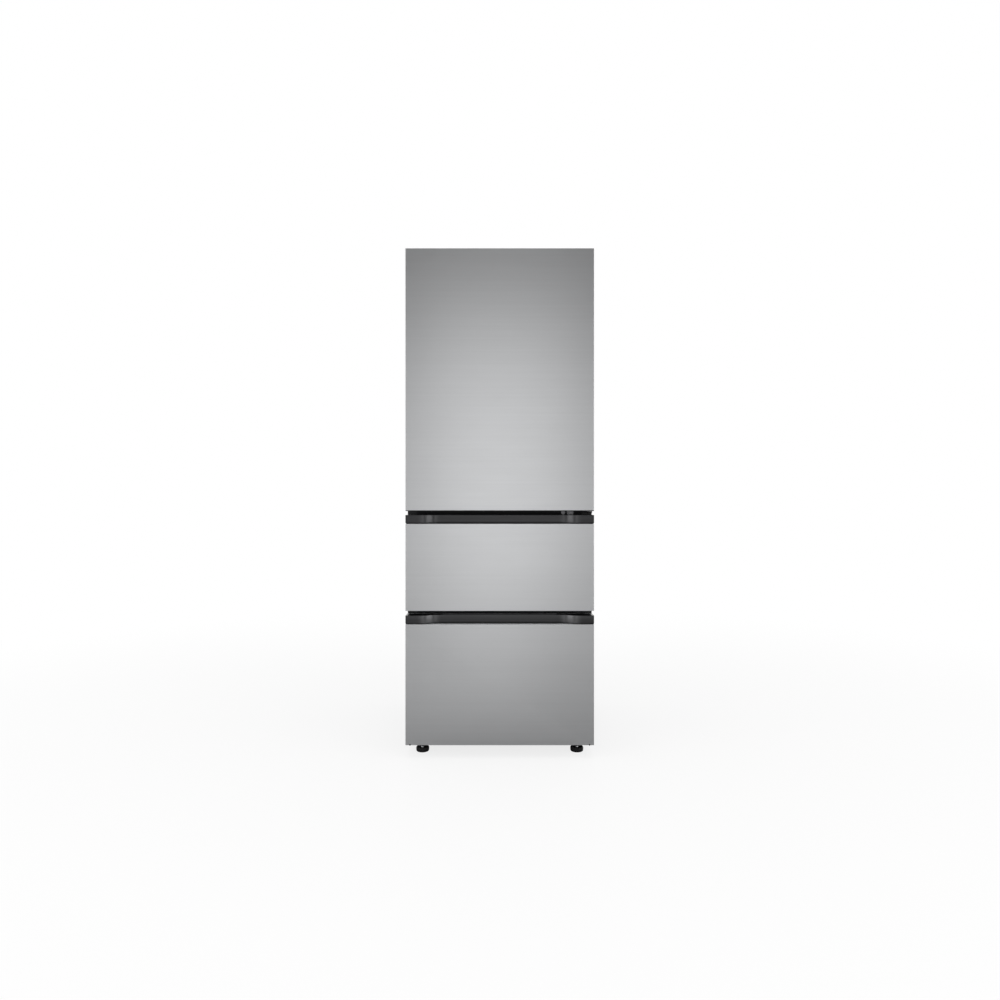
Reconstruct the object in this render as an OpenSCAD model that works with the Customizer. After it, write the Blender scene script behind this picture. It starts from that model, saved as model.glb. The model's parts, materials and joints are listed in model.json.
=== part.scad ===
// Kimchi refrigerator with one upper door and two lower drawers.
// X runs to the right, Y to the back and Z up. The origin is on the floor, under the middle.

/* [Overall] */
// Width of the cabinet and of every front
body_w = 666; // [640:1:720]
// Depth of the cabinet behind its front face
cabinet_d = 640; // [620:1:720]
// Thickness of the door and of the drawer fronts
front_t = 58; // [54:1:70]
// Space between a closed front and the cabinet, which the gasket fills
gasket_gap = 10; // [8:0.5:14]
// Height of the lowest front edge above the floor
front_bottom = 46; // [42:1:54]
// Height of the lower drawer's panel
lower_panel_h = 426; // [410:1:500]
// Height of the middle drawer's panel
middle_panel_h = 307; // [295:1:380]
// Height of the door panel
door_panel_h = 925; // [900:1:1000]
// Height of each handle trim
trim_h = 31.5; // [28:0.5:40]
// Open slot above each handle trim
slot_h = 16.5; // [14:0.5:22]
// How far the door stands above the cabinet top
door_rise = 15; // [12:1:20]

/* [Sheet metal and walls] */
// Thickness of the outer case sheet
sheet_t = 1.2; // [0.8:0.1:2]
// Thickness of the back panel sheet
back_t = 1; // [0.8:0.1:2]
// Height of the stiffening pads pressed into the back panel
back_pad_h = 3; // [2:0.5:6]
// Thickness of the folded base plate
base_t = 1.5; // [1:0.1:3]
// Thickness of the moulded liners
liner_t = 2; // [1.5:0.1:3]
// Thickness of the hemmed front edge of the cabinet
rim_t = 2; // [1.5:0.1:3]
// Width of the steel front edge at each side
rim_w = 34; // [30:1:38]
// Insulated wall at each side, from the outside to the room
side_wall = 52; // [48:1:60]
// Insulated wall at the back
rear_wall = 60; // [50:1:75]
// Insulated wall at the top
top_wall = 52; // [48:1:70]
// Insulated floor below the lower room
floor_wall = 70; // [64:1:90]
// Liner lip around each room at its top and bottom
liner_lip = 8; // [6:1:10]
// Corner radius of the rooms
room_r = 14; // [8:1:20]

/* [Fronts] */
// Thickness of the metal panel sheet
panel_t = 1; // [0.8:0.1:1.5]
// Depth of the inner liner's edge around a front
liner_edge = 8; // [6:1:12]
// Height of the door's top and bottom caps
cap_h = 24; // [22:1:30]
// Depth of the hollow in the middle of a handle trim
hollow_d = 19; // [12:1:22]
// Distance from the side edge to the flat middle of the hollow
hollow_in = 111; // [103:1:150]
// Radius of the two arcs that lead into the hollow
hollow_r = 46; // [40:1:60]
// Thickness of the lip that the fingers pull
grip_lip = 5; // [4:0.5:8]
// Depth of the finger pocket behind the lip
grip_depth = 22; // [18:1:25]
// Distance from the end of the hollow's flat middle to the finger pocket
grip_in = 12; // [7:1:60]
// Width of the finger pocket under the door
door_grip_w = 24; // [20:1:26]
// Width of a gasket strip
gasket_w = 17; // [14:1:19]
// Distance from a front's upper and lower edge to its gasket
gasket_inset = 8; // [6:1:10]
// Distance from a front's side edge to its gasket
gasket_side = 14; // [13:1:16]
// Width of the raised frame inside the door
dyke_w = 26; // [18:1:34]
// Height of the raised frame inside the door
dyke_h = 24; // [15:1:30]
// Clearance between a closed gasket and the cabinet
seal_clear = 0.3; // [0.2:0.1:0.6]

/* [Door hinge] */
// Distance from the door's side edge to the hinge axis
pin_inset = 12; // [12:0.5:14]
// Wall between a hinge bush and the door's inner face
bush_back = 4; // [3:0.5:8]
// Radius of the hinge pins
pin_r = 5; // [4:0.5:5.5]
// Length of a hinge pin inside its bush
pin_l = 16; // [12:1:20]
// Radius of a hinge bush
bush_r = 8; // [7.5:0.5:9]
// Thickness of the hinge plates
hinge_t = 3.5; // [3:0.5:4]
// Height of the middle hinge's plate on the cabinet face
hinge_plate_h = 26; // [20:1:26]
// Distance from the cabinet's side to the middle hinge's plate
hinge_plate_in = 42; // [38:1:60]
// Width of the middle hinge's plate
hinge_plate_w = 72; // [60:1:90]

/* [Feet and rollers] */
// Distance from the cabinet's side to a levelling foot
foot_in = 53; // [44:1:90]
// Distance from the cabinet's front face back to the feet
foot_back = 12; // [12:1:40]
// Largest radius of a levelling knob
knob_r = 23.5; // [20:0.5:26]
// Height of a levelling knob
knob_h = 19; // [16:0.5:20]
// Radius of the foot's threaded stud
stud_r = 5; // [4:0.5:6]
// Length of the stud above the knob
stud_l = 42; // [34:1:46]
// Number of finger grooves around a knob
knob_grooves = 12; // [8:1:16]
// Radius of a rear roller
roller_r = 14; // [13:0.5:14]
// Width of a rear roller
roller_w = 18; // [14:1:24]
// Space between a rear roller and the base plate
roller_gap = 2; // [1:0.5:5]
// Distance from the cabinet's side to a rear roller
roller_in = 88; // [60:1:130]
// Distance from the cabinet's back to the roller axles
roller_back = 60; // [40:1:90]
// Radius of a roller's axle pin
axle_r = 3; // [2.5:0.5:4]
// Running clearance around a pin in its bore
run_clear = 0.08; // [0.04:0.01:0.1]

/* [Rooms and containers] */
// Height between the shelves of the upper room
shelf_step = 266; // [262:1:285]
// Thickness of the glass shelves
glass_t = 4; // [3:0.5:5]
// Height of the plastic frame around a glass shelf
shelf_frame_h = 12; // [10:1:16]
// Width of the ledges that carry a shelf
ledge_w = 11; // [8:1:14]
// Depth of the air duct behind the upper room
duct_d = 46; // [44:1:52]
// Space above the lids of the upper containers
upper_box_gap = 15; // [8:1:60]
// Space above the lids of the middle containers
middle_box_gap = 16.5; // [8:0.5:60]
// Space above the lids of the lower containers
lower_box_gap = 54.5; // [50:0.5:90]
// Space behind the upper containers
upper_box_back = 64; // [40:1:120]
// Space behind the middle drawer's basket
middle_basket_back = 148; // [140:1:200]
// Space behind the lower drawer's basket
lower_basket_back = 24; // [18:1:60]
// Space between two containers, and between a container and its basket's ends
box_gap = 5; // [4:0.5:10]
// Space between a container and its basket's side
box_side_gap = 6; // [4:0.5:16]
// Wall of a container
box_wall = 2.5; // [2:0.5:3.5]
// Corner radius of a container
box_r = 26; // [16:1:34]
// Height of a container's lid
lid_h = 13; // [10:1:16]
// Width of a lid latch
latch_w = 64; // [40:1:90]
// Wall of a drawer basket
basket_wall = 3; // [2.5:0.5:4]
// Space between a basket's floor and the room's floor
basket_clear = 8; // [6:1:12]

/* [Drawer rails] */
// Height of the outer rail
rail_h = 44; // [40:1:52]
// Depth of the closed rail between the wall and the basket's bracket
rail_d = 13; // [13:0.5:14]
// Thickness of the rail steel
rail_t = 1.4; // [1.2:0.1:1.6]
// Running clearance between nested rails
rail_clear = 0.4; // [0.3:0.1:0.5]
// Length of each rail
rail_l = 480; // [460:1:490]
// Distance from the cabinet's front face back to the rails
rail_back = 6; // [4:1:12]
// Height of the middle rails above their room's floor
middle_rail_up = 137; // [120:1:150]
// Height of the lower rails above the step over the machine room
lower_rail_up = 18; // [12:1:30]

/* [Machine room] */
// Distance from the cabinet's side to the compressor's middle
comp_in = 165; // [150:1:180]
// Width of the drain pan between the compressor and the condenser fan
pan_w = 100; // [80:1:110]
// Depth of the machine room at the back
machine_d = 230; // [225:1:250]
// Height of the machine room's ceiling above the floor
machine_top = 290; // [286:1:296]
// Insulation between the machine room and the lower room
step_wall = 62; // [56:1:64]
// Radius of the compressor shell
comp_r = 68; // [60:1:70]
// Height of the compressor shell
comp_h = 150; // [130:1:165]
// Radius of the condenser fan
fan_r = 58; // [48:1:62]
// Radius of the evaporator fan
evap_fan_r = 52; // [44:1:60]
// Blades of each fan
fan_blades = 5; // [3:1:7]
// Louvres in the machine room cover, on each side
louvres = 12; // [6:1:14]

/* [Hidden] */
$fn = 48;
over = 1;

// Places across the width
half_w = body_w / 2;
room_half = half_w - side_wall;
rim_half = half_w - rim_w;
hinge_x = half_w - pin_inset;
hinge_x1 = half_w - hinge_plate_in;
hinge_x0 = hinge_x1 - hinge_plate_w;
hollow_half = half_w - hollow_in;
grip_half = hollow_half - grip_in;
foot_x = half_w - foot_in;
roller_x = half_w - roller_in;

// Places from front to back
front_y = -(cabinet_d + gasket_gap + front_t) / 2;
liner_y = front_y + front_t - liner_edge;
front_back = front_y + front_t;
case_y = front_back + gasket_gap;
foam_y = case_y + rim_t;
back_y = case_y + cabinet_d;
shell_back = back_y - back_pad_h - back_t;
room_back = back_y - rear_wall;
hinge_y = liner_y - bush_back - bush_r;
machine_y = back_y - machine_d;
step_y = machine_y - step_wall;
rail_y = case_y + rail_back;
basket_y = front_back + 6;

// Heights of the base and the fronts
base_z = 2 * roller_r + roller_gap;
lower_z0 = front_bottom;
lower_trim_z = lower_z0 + lower_panel_h;
lower_z1 = lower_trim_z + trim_h;
middle_z0 = lower_z1 + slot_h;
middle_trim_z = middle_z0 + middle_panel_h;
middle_z1 = middle_trim_z + trim_h;
door_z0 = middle_z1 + slot_h;
door_z1 = door_z0 + door_panel_h;
case_top = door_z1 - door_rise;

// Heights of the rooms
room_inset = gasket_inset + gasket_w + liner_lip;
lower_room_z0 = base_z + floor_wall;
lower_room_z1 = lower_z1 - room_inset;
middle_room_z0 = middle_z0 + room_inset;
middle_room_z1 = middle_z1 - room_inset;
upper_room_z0 = door_z0 + room_inset;
upper_room_z1 = case_top - top_wall;
step_z = machine_top + step_wall;
shelf_z = [for (i = [1, 2]) upper_room_z0 + i * shelf_step];
middle_rail_z = middle_room_z0 + middle_rail_up;
lower_rail_z = step_z + lower_rail_up + rail_h / 2;

// A block between two limits on each axis
module block(x0, x1, y0, y1, z0, z1) {
    translate([x0, y0, z0]) cube([x1 - x0, y1 - y0, z1 - z0]);
}

// A block as wide on the left as on the right
module wide_block(half, y0, y1, z0, z1) {
    block(-half, half, y0, y1, z0, z1);
}

module both_sides() {
    children();
    mirror([1, 0, 0]) children();
}

// A rectangle with round corners, with its middle at the origin
module rounded(w, h, r) {
    square([w - 2 * r, h], center = true);
    square([w, h - 2 * r], center = true);
    for (x = [-1, 1], y = [-1, 1])
        translate([x * (w / 2 - r), y * (h / 2 - r)]) circle(r);
}

// An upright prism with round corners, from z0 to z1, over a rectangle in plan
module upright(x0, x1, y0, y1, z0, z1, r) {
    translate([(x0 + x1) / 2, (y0 + y1) / 2, z0])
        linear_extrude(z1 - z0) rounded(x1 - x0, y1 - y0, r);
}

// A prism with round corners that runs from y0 to y1
module tunnel(half, y0, y1, z0, z1, r) {
    translate([0, y1, (z0 + z1) / 2]) rotate([90, 0, 0])
        linear_extrude(y1 - y0) rounded(2 * half, z1 - z0, r);
}

// A rectangular ring that runs from y0 to y1
module frame_ring(half, z0, z1, w, y0, y1) {
    difference() {
        wide_block(half, y0, y1, z0, z1);
        wide_block(half - w, y0 - over, y1 + over, z0 + w, z1 - w);
    }
}

module rod(r, h) {
    cylinder(r = r, h = h);
}

// Lies along X, with its middle at the origin
module cross_rod(r, w) {
    rotate([0, 90, 0]) cylinder(r = r, h = w, center = true);
}

// Cabinet shell

// Folded steel sheet for both sides and the top, with a hemmed front edge
module outer_case() {
    color("#4a4b4d") difference() {
        wide_block(half_w, case_y, shell_back, base_z, case_top);
        wide_block(half_w - sheet_t, foam_y, back_y, 0, case_top - sheet_t);
        wide_block(rim_half, front_y, back_y, 0, upper_room_z1 + liner_lip);
    }
}

// Flat sheet with two large stiffening pads pressed outward
module back_panel() {
    pad_in = 40;
    pad_gap = 30;
    pad_z0 = machine_top + pad_in;
    color("#8d9093") {
        wide_block(half_w, shell_back, shell_back + back_t, machine_top, case_top);
        both_sides()
            tunnel_pad(pad_gap / 2, half_w - pad_in, pad_z0, board_z0 - pad_gap);
    }
}

module tunnel_pad(x0, x1, z0, z1) {
    translate([(x0 + x1) / 2, back_y, (z0 + z1) / 2]) rotate([90, 0, 0])
        linear_extrude(back_pad_h) rounded(x1 - x0, z1 - z0, 20);
}

// Base plate with its front edge, the machine room's front wall and its ceiling
module base_plate() {
    ear_t = 2;
    boss_r = stud_r + 5;
    boss_h = 10;
    vent_w = 90;
    color("#5b5d60") difference() {
        union() {
            wide_block(half_w - sheet_t, foam_y, shell_back, base_z, base_z + base_t);
            wide_block(rim_half, case_y, foam_y, base_z, lower_room_z0 - liner_lip);
            wide_block(half_w - sheet_t, machine_y, machine_y + base_t, base_z, machine_top);
            wide_block(half_w - sheet_t, machine_y, shell_back,
                machine_top - base_t, machine_top);
            for (x = [-1, 1]) {
                translate([x * foot_x, foot_y, base_z]) rod(boss_r, boss_h);
                for (side = [-1, 1])
                    roller_ear(x * roller_x + side * (roller_w / 2 + ear_t), ear_t);
            }
        }
        for (x = [-1, 1])
            translate([x * foot_x, foot_y, 0]) rod(stud_r + run_clear, machine_top);
        translate([0, roller_y, roller_r]) cross_rod(axle_r, body_w);
        for (i = [0:5])
            wide_block(vent_w / 2, vent_y + i * 14, vent_y + i * 14 + 6, 0, base_z + 2 * base_t);
    }
}

foot_y = case_y + foot_back;
roller_y = back_y - roller_back;
vent_y = machine_y + 60;

// Hanging ear that holds one end of a roller's axle
module roller_ear(x, t) {
    reach = axle_r + 5;
    translate([x, roller_y, 0]) {
        block(-t / 2, t / 2, -reach, reach, roller_r, base_z + base_t);
        translate([0, 0, roller_r]) cross_rod(reach, t);
    }
}

// Outer form of the lower room, which steps over the machine room
module lower_room_form(grow) {
    tunnel(room_half + grow, case_y - over + grow, step_y + grow,
        lower_room_z0 - grow, lower_room_z1 + grow, room_r + grow);
    tunnel(room_half + grow, step_y + grow, room_back + grow,
        step_z - grow, lower_room_z1 + grow, room_r + grow);
}

module room_form(z0, z1, grow) {
    tunnel(room_half + grow, case_y - over + grow, room_back + grow,
        z0 - grow, z1 + grow, room_r + grow);
}

// Flat lip of a liner, between the steel edges around a room
module liner_face(z0, z1) {
    wide_block(rim_half, case_y, foam_y, z0 - liner_lip, z1 + liner_lip);
}

module upper_liner() {
    color("#d9dcde") {
        difference() {
            union() {
                room_form(upper_room_z0, upper_room_z1, liner_t);
                liner_face(upper_room_z0, upper_room_z1);
            }
            room_form(upper_room_z0, upper_room_z1, 0);
        }
        both_sides() for (z = shelf_z) shelf_ledge(z);
    }
}

// Moulded ledge under a shelf, with a rounded underside
module shelf_ledge(z) {
    ledge_h = 14;
    ledge_tip = 4;
    translate([room_half, shelf_y1, z - shelf_frame_h]) rotate([90, 0, 0])
        linear_extrude(shelf_y1 - shelf_y0)
            polygon([[liner_t / 2, 0], [-ledge_w, 0], [-ledge_w, -ledge_tip], [liner_t / 2, -ledge_h]]);
}

module middle_liner() {
    color("#d9dcde") difference() {
        union() {
            room_form(middle_room_z0, middle_room_z1, liner_t);
            liner_face(middle_room_z0, middle_room_z1);
        }
        room_form(middle_room_z0, middle_room_z1, 0);
    }
}

module lower_liner() {
    color("#d9dcde") difference() {
        union() {
            lower_room_form(liner_t);
            liner_face(lower_room_z0, lower_room_z1);
        }
        lower_room_form(0);
    }
}

// Foam that fills the space between the case and the liners
module insulation_foam() {
    pocket_r = stud_r + 7;
    color("#e8ddb0") difference() {
        wide_block(half_w - sheet_t, foam_y, shell_back, base_z + base_t, case_top - sheet_t);
        room_form(upper_room_z0, upper_room_z1, liner_t);
        room_form(middle_room_z0, middle_room_z1, liner_t);
        lower_room_form(liner_t);
        wide_block(half_w, machine_y, back_y, 0, machine_top);
        for (x = [-1, 1])
            translate([x * foot_x, foot_y, base_z]) rod(pocket_r, stud_l);
    }
}

// Steel strips on the cabinet's face between the rooms
module mullion_covers() {
    color("#1b1c1e") {
        difference() {
            wide_block(rim_half, case_y, foam_y,
                middle_room_z1 + liner_lip, upper_room_z0 - liner_lip);
            for (x = hinge_bolt_x)
                translate([x, foam_y + over, hinge_plate_z]) rotate([90, 0, 0])
                    rod(bolt_r, 4 * rim_t);
        }
        wide_block(rim_half, case_y, foam_y,
            lower_room_z1 + liner_lip, middle_room_z0 - liner_lip);
    }
}

// Hinges
bolt_r = 3;
bolt_head_r = 6;
bolt_head_h = 4;
face_plate_t = 3;
slot_mid_z = (middle_z1 + door_z0) / 2;
hinge_plate_z = slot_mid_z;
hinge_bolt_x = [hinge_x0 + 10, hinge_x0 + 36];
arm_bottom_z = door_z0 - 9;
arm_top_z = arm_bottom_z + hinge_t;
top_arm_z = door_z1 + 2;
nose_r = pin_inset - 2;
cover_x0 = hinge_x - 76;
top_bolts = [[-58, 26], [-58, 52], [-14, 52]];

// Arm that carries a hinge pin, from its nose back to y1
module hinge_arm(y1, z) {
    block(hinge_x - nose_r, hinge_x + nose_r, hinge_y, y1, z, z + hinge_t);
    translate([hinge_x, hinge_y, z]) rod(nose_r, hinge_t);
}

// Flat web that widens an arm towards the cabinet's face
module arm_gusset(x0, y1, z) {
    tip = 4;
    reach = 20;
    translate([0, 0, z]) linear_extrude(hinge_t) polygon([
        [x0, y1], [x0, y1 - tip], [hinge_x - nose_r, y1 - reach], [hinge_x, y1 - reach],
        [hinge_x, y1]
    ]);
}

// Plate bolted to the cabinet's face, with an arm and an upward pin in the slot
module middle_hinge() {
    color("#2a2b2d") {
        difference() {
            union() {
                block(hinge_x0, hinge_x1, case_y - face_plate_t, case_y,
                    hinge_plate_z - hinge_plate_h / 2, hinge_plate_z + hinge_plate_h / 2);
                hinge_arm(case_y, arm_bottom_z);
                arm_gusset(hinge_x0 + 46, case_y, arm_bottom_z);
            }
            for (x = hinge_bolt_x)
                translate([x, case_y + over, hinge_plate_z]) rotate([90, 0, 0])
                    rod(bolt_r, 2 * face_plate_t);
        }
        translate([hinge_x, hinge_y, arm_bottom_z])
            rod(pin_r, door_z0 + pin_l - arm_bottom_z);
    }
}

// Stepped plate on the cabinet top, with a raised arm and a downward pin
module top_hinge() {
    web_y = case_y + 8;
    plate_y1 = web_y + 66;
    color("#8f9295") {
        difference() {
            block(hinge_x - 70, hinge_x + 6, web_y, plate_y1, case_top, case_top + hinge_t);
            for (b = top_bolts)
                translate([hinge_x + b[0], case_y + b[1], case_top - over])
                    rod(bolt_r, 3 * hinge_t);
        }
        block(hinge_x - 40, hinge_x + nose_r, web_y, web_y + hinge_t,
            case_top + hinge_t, top_arm_z + hinge_t);
        hinge_arm(web_y, top_arm_z);
        translate([hinge_x, hinge_y, door_z1 - pin_l])
            rod(pin_r, top_arm_z + hinge_t - door_z1 + pin_l);
    }
}

// Plan of the hinge cover, with a round nose over the pin
module cover_plan(shrink) {
    r = nose_r + 3.5;
    x0 = cover_x0 + shrink;
    x1 = half_w - shrink;
    y1 = case_y + 86 - shrink;
    difference() {
        union() {
            translate([x0, hinge_y]) square([x1 - x0, y1 - hinge_y]);
            translate([hinge_x, hinge_y]) circle(r - shrink);
        }
        translate([x0 - over, hinge_y - over])
            square([hinge_x - r - x0 + over + shrink, case_y + 2 - hinge_y + over + shrink]);
        translate([x1, hinge_y - 2 * r]) square(4 * r);
    }
}

// Moulded cover over the top hinge, open below
module hinge_cover() {
    wall = 1.5;
    top = top_arm_z + hinge_t + 0.5 + wall;
    color("#3c3d40") difference() {
        union() {
            intersection() {
                translate([0, 0, case_top]) linear_extrude(top - case_top) cover_plan(0);
                wide_block(half_w, case_y + 2, back_y, case_top, top);
            }
            translate([0, 0, top_arm_z]) linear_extrude(top - top_arm_z) cover_plan(0);
        }
        intersection() {
            translate([0, 0, case_top - over])
                linear_extrude(top - wall - case_top + over) cover_plan(wall);
            wide_block(half_w, case_y + 2 + wall, back_y, 0, top);
        }
        translate([0, 0, top_arm_z - over])
            linear_extrude(top - wall - top_arm_z + over) cover_plan(wall);
    }
}

// Hexagon head with its washer flange, standing on a plate at the origin
module bolt(shank) {
    cylinder(r = bolt_head_r + 1.5, h = 1.2);
    translate([0, 0, 1.2]) cylinder(r = bolt_head_r, h = bolt_head_h - 1.2, $fn = 6);
    translate([0, 0, -shank]) rod(bolt_r, shank + over);
}

// Hinge bolts, back screws and the rollers' axle pins
module cabinet_fasteners() {
    color("#a8abad") {
        for (x = hinge_bolt_x)
            translate([x, case_y - face_plate_t, hinge_plate_z]) rotate([90, 0, 0])
                bolt(face_plate_t + rim_t);
        for (b = top_bolts)
            translate([hinge_x + b[0], case_y + b[1], case_top + hinge_t]) bolt(hinge_t);
        both_sides() for (z = [machine_top + 14, case_top / 2, case_top - 14])
            translate([half_w - 14, shell_back + back_t, z]) rotate([-90, 0, 0])
                cylinder(r1 = 4, r2 = 2.5, h = 1.8);
        for (x = [-1, 1]) translate([x * roller_x, roller_y, roller_r])
            cross_rod(axle_r, roller_w + 8);
    }
}

// Feet and rollers

// Levelling foot with a grooved knob and a threaded stud
module foot(x) {
    color("#151517") translate([x, foot_y, 0]) {
        difference() {
            rotate_extrude() polygon([
                [0, 0], [knob_r * 0.74, 0], [knob_r * 0.78, 1.5], [knob_r * 0.95, knob_h * 0.32],
                [knob_r, knob_h * 0.42], [knob_r, knob_h * 0.84], [knob_r - 1.5, knob_h * 0.92],
                [stud_r + 3, knob_h], [0, knob_h]
            ]);
            for (i = [0:knob_grooves - 1]) rotate([0, 0, (i + 0.5) * 360 / knob_grooves])
                translate([knob_r + 1.6, 0, 3]) rod(3, knob_h);
        }
        translate([0, 0, knob_h - over]) rod(stud_r, stud_l - 6 + over);
        translate([0, 0, knob_h + stud_l - 6])
            cylinder(r1 = stud_r, r2 = stud_r - 1.2, h = 1.5);
    }
}
module foot_left() { foot(-foot_x); }
module foot_right() { foot(foot_x); }

// Rear roller with a raised hub and a bore
module roller(x) {
    w = roller_w / 2;
    color("#222325") translate([x, roller_y, roller_r]) rotate([0, 90, 0])
        rotate_extrude() polygon([
            [axle_r + run_clear, -w], [axle_r + 3, -w], [axle_r + 3, 2 - w],
            [roller_r - 3, 2 - w], [roller_r - 3, -w], [roller_r - 1, -w], [roller_r, 1 - w],
            [roller_r, w - 1], [roller_r - 1, w], [roller_r - 3, w], [roller_r - 3, w - 2],
            [axle_r + 3, w - 2], [axle_r + 3, w], [axle_r + run_clear, w]
        ]);
}
module roller_left() { roller(-roller_x); }
module roller_right() { roller(roller_x); }

// Fittings of the upper room
duct_y = room_back - duct_d;
duct_half = room_half - 81;
duct_wall = 2.5;
duct_z0 = upper_room_z0 + 14;
duct_z1 = upper_room_z1 - 20;
fan_up = 330;
fan_z = upper_room_z0 + fan_up;
fan_gap = 3;
evap_fan_y = duct_y + duct_wall + fan_gap;
evap_fan_w = 14;
shaft_r = 2.5;
shelf_y0 = case_y + 26;
shelf_y1 = duct_y - 6;
shelf_half = room_half - 1;
glass_half = shelf_half - 8;
board_drop = 190;
board_z0 = case_top - board_drop;

// A closed slot with round ends, cut along Y
module slot_y(x, z, l, h, y0, y1) {
    translate([x, y1, z]) rotate([90, 0, 0]) linear_extrude(y1 - y0) {
        square([l - h, h], center = true);
        for (s = [-1, 1]) translate([s * (l - h) / 2, 0]) circle(h / 2);
    }
}

// Moulded cover over the evaporator, with bevelled edges, a fan grille and air outlets
module air_duct_cover() {
    bevel = 14;
    outlet_drop = 48;
    outlet_z = [for (z = [shelf_z[0], shelf_z[1], duct_z1]) z - outlet_drop];
    color("#cfd3d6") difference() {
        duct_form(duct_half, bevel, duct_y, duct_z0, duct_z1);
        duct_form(duct_half - duct_wall, bevel - 1, duct_y + duct_wall,
            duct_z0 + duct_wall, duct_z1 - duct_wall);
        for (i = [-4:4]) slot_y(0, fan_z + i * 10, 1.8 * sqrt(pow(evap_fan_r, 2) - pow(i * 10, 2)),
            5, duct_y - over, duct_y + 2 * duct_wall);
        for (z = outlet_z, i = [-1, 1], k = [0, 1])
            slot_y(i * 110, z + k * 12, 120, 6, duct_y - over, duct_y + 2 * duct_wall);
        for (i = [-5:5])
            slot_y(i * 30, duct_z0 + 20, 22, 8, duct_y - over, duct_y + 2 * duct_wall);
    }
}

module duct_form(half, bevel, y0, z0, z1) {
    translate([0, 0, z0]) linear_extrude(z1 - z0) polygon([
        [-half, room_back], [-half, y0 + bevel], [bevel - half, y0],
        [half - bevel, y0], [half, y0 + bevel], [half, room_back]
    ]);
}

// Finned tube evaporator, held against the liner by its two end plates
module evaporator() {
    evap_in = 50;
    half = duct_half - evap_in;
    z0 = duct_z0 + evap_in;
    front_gap = 8;
    y0 = duct_y + front_gap;
    tube_r = 4;
    tube_in = 9;
    tube_y = [y0 + tube_in, y0 + tube_in + 17];
    tube_up = 14;
    row = 32;
    rows = 5;
    fins = 19;
    fin_t = 1;
    fin_in = 12;
    fin_pitch = 2 * (half - fin_in) / (fins - 1);
    plate = 2;
    edge = 4;
    color("#b9bec2") {
        for (i = [0:rows - 1], y = tube_y) translate([0, y, z0 + tube_up + i * row])
            cross_rod(tube_r, 2 * half);
        for (i = [0:fins - 1]) let (x = fin_in - half + i * fin_pitch)
            block(x - fin_t / 2, x + fin_t / 2, y0, room_back - 2, z0, z0 + rows * row - edge);
        for (x = [plate - half, half - plate])
            block(x - plate / 2, x + plate / 2, y0, room_back, z0 - edge, z0 + rows * row);
        for (i = [0:rows - 1])
            evaporator_bend(half, tube_y[0], tube_y[1], z0 + tube_up + i * row, tube_r);
    }
}

// U bend that joins the two tubes of one row
module evaporator_bend(x, y0, y1, z, r) {
    translate([x, (y0 + y1) / 2, z]) rotate([0, 0, -90]) rotate_extrude(angle = 180)
        translate([(y1 - y0) / 2, 0]) circle(r);
}

// One axial fan wheel with its shaft, on the Z axis, with its hub's face at z = 0
module fan_wheel(r, w, hub_r, shaft_l) {
    rod(hub_r, w);
    translate([0, 0, -shaft_l]) rod(shaft_r, shaft_l + over);
    intersection() {
        difference() {
            rod(r, w);
            translate([0, 0, -over]) rod(hub_r - over, w + 2 * over);
        }
        for (i = [0:fan_blades - 1]) rotate([0, 0, i * 360 / fan_blades])
            translate([hub_r - 3, 0, w / 2]) rotate([32, 0, 0])
                translate([0, -r * 0.42, -1]) cube([r, r * 0.84, 2]);
    }
}

module evaporator_fan() {
    color("#2c2e31") translate([0, evap_fan_y, fan_z]) rotate([90, 0, 0])
        translate([0, 0, -evap_fan_w]) fan_wheel(evap_fan_r, evap_fan_w, 15, 12);
}

// Machine room
comp_back = 114;
comp_up = 14;
comp_x = comp_in - half_w;
comp_y = machine_y + comp_back;
comp_z0 = base_z + base_t + comp_up;
comp_foot_half = comp_r - 5.5;
comp_plate_half = comp_foot_half + 12;
pan_gap = 2;
pan_x0 = comp_x + comp_plate_half + pan_gap;
pan_x1 = pan_x0 + pan_w;
plate_t = 2.5;
cond_w = 128;
cond_d = 148;
cond_h = 150;
cond_up = 14;
cfan_w = 18;
cfan_x = pan_x1 + 25.5;
cfan_z = base_z + base_t + fan_r + 22;
port_l = 14;
port_r = 4;
port_y = 26;
port_z = comp_z0 + comp_h * 0.55;
cond_x0 = cfan_x + 84;
cond_x1 = cond_x0 + cond_w;
cond_y0 = comp_y - cond_d / 2;
cond_y1 = comp_y + cond_d / 2;
cond_z0 = base_z + base_t + cond_up;
cond_z1 = cond_z0 + cond_h;
cond_tube_in = 24;
cond_tube_x = 40;
cond_tube_z = 40;
cond_port_x = cond_x0 + cond_tube_in;
cond_port_z = cond_z1 + 12;
cond_drier_y = cond_y1 - 20;
ceiling_z = machine_top - base_t;

module condenser_fan() {
    color("#2c2e31") translate([cfan_x, comp_y, cfan_z]) rotate([0, 90, 0])
        translate([0, 0, -cfan_w / 2]) rotate([180, 0, 0])
            translate([0, 0, -cfan_w]) fan_wheel(fan_r, cfan_w, 20, 14);
}

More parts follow.
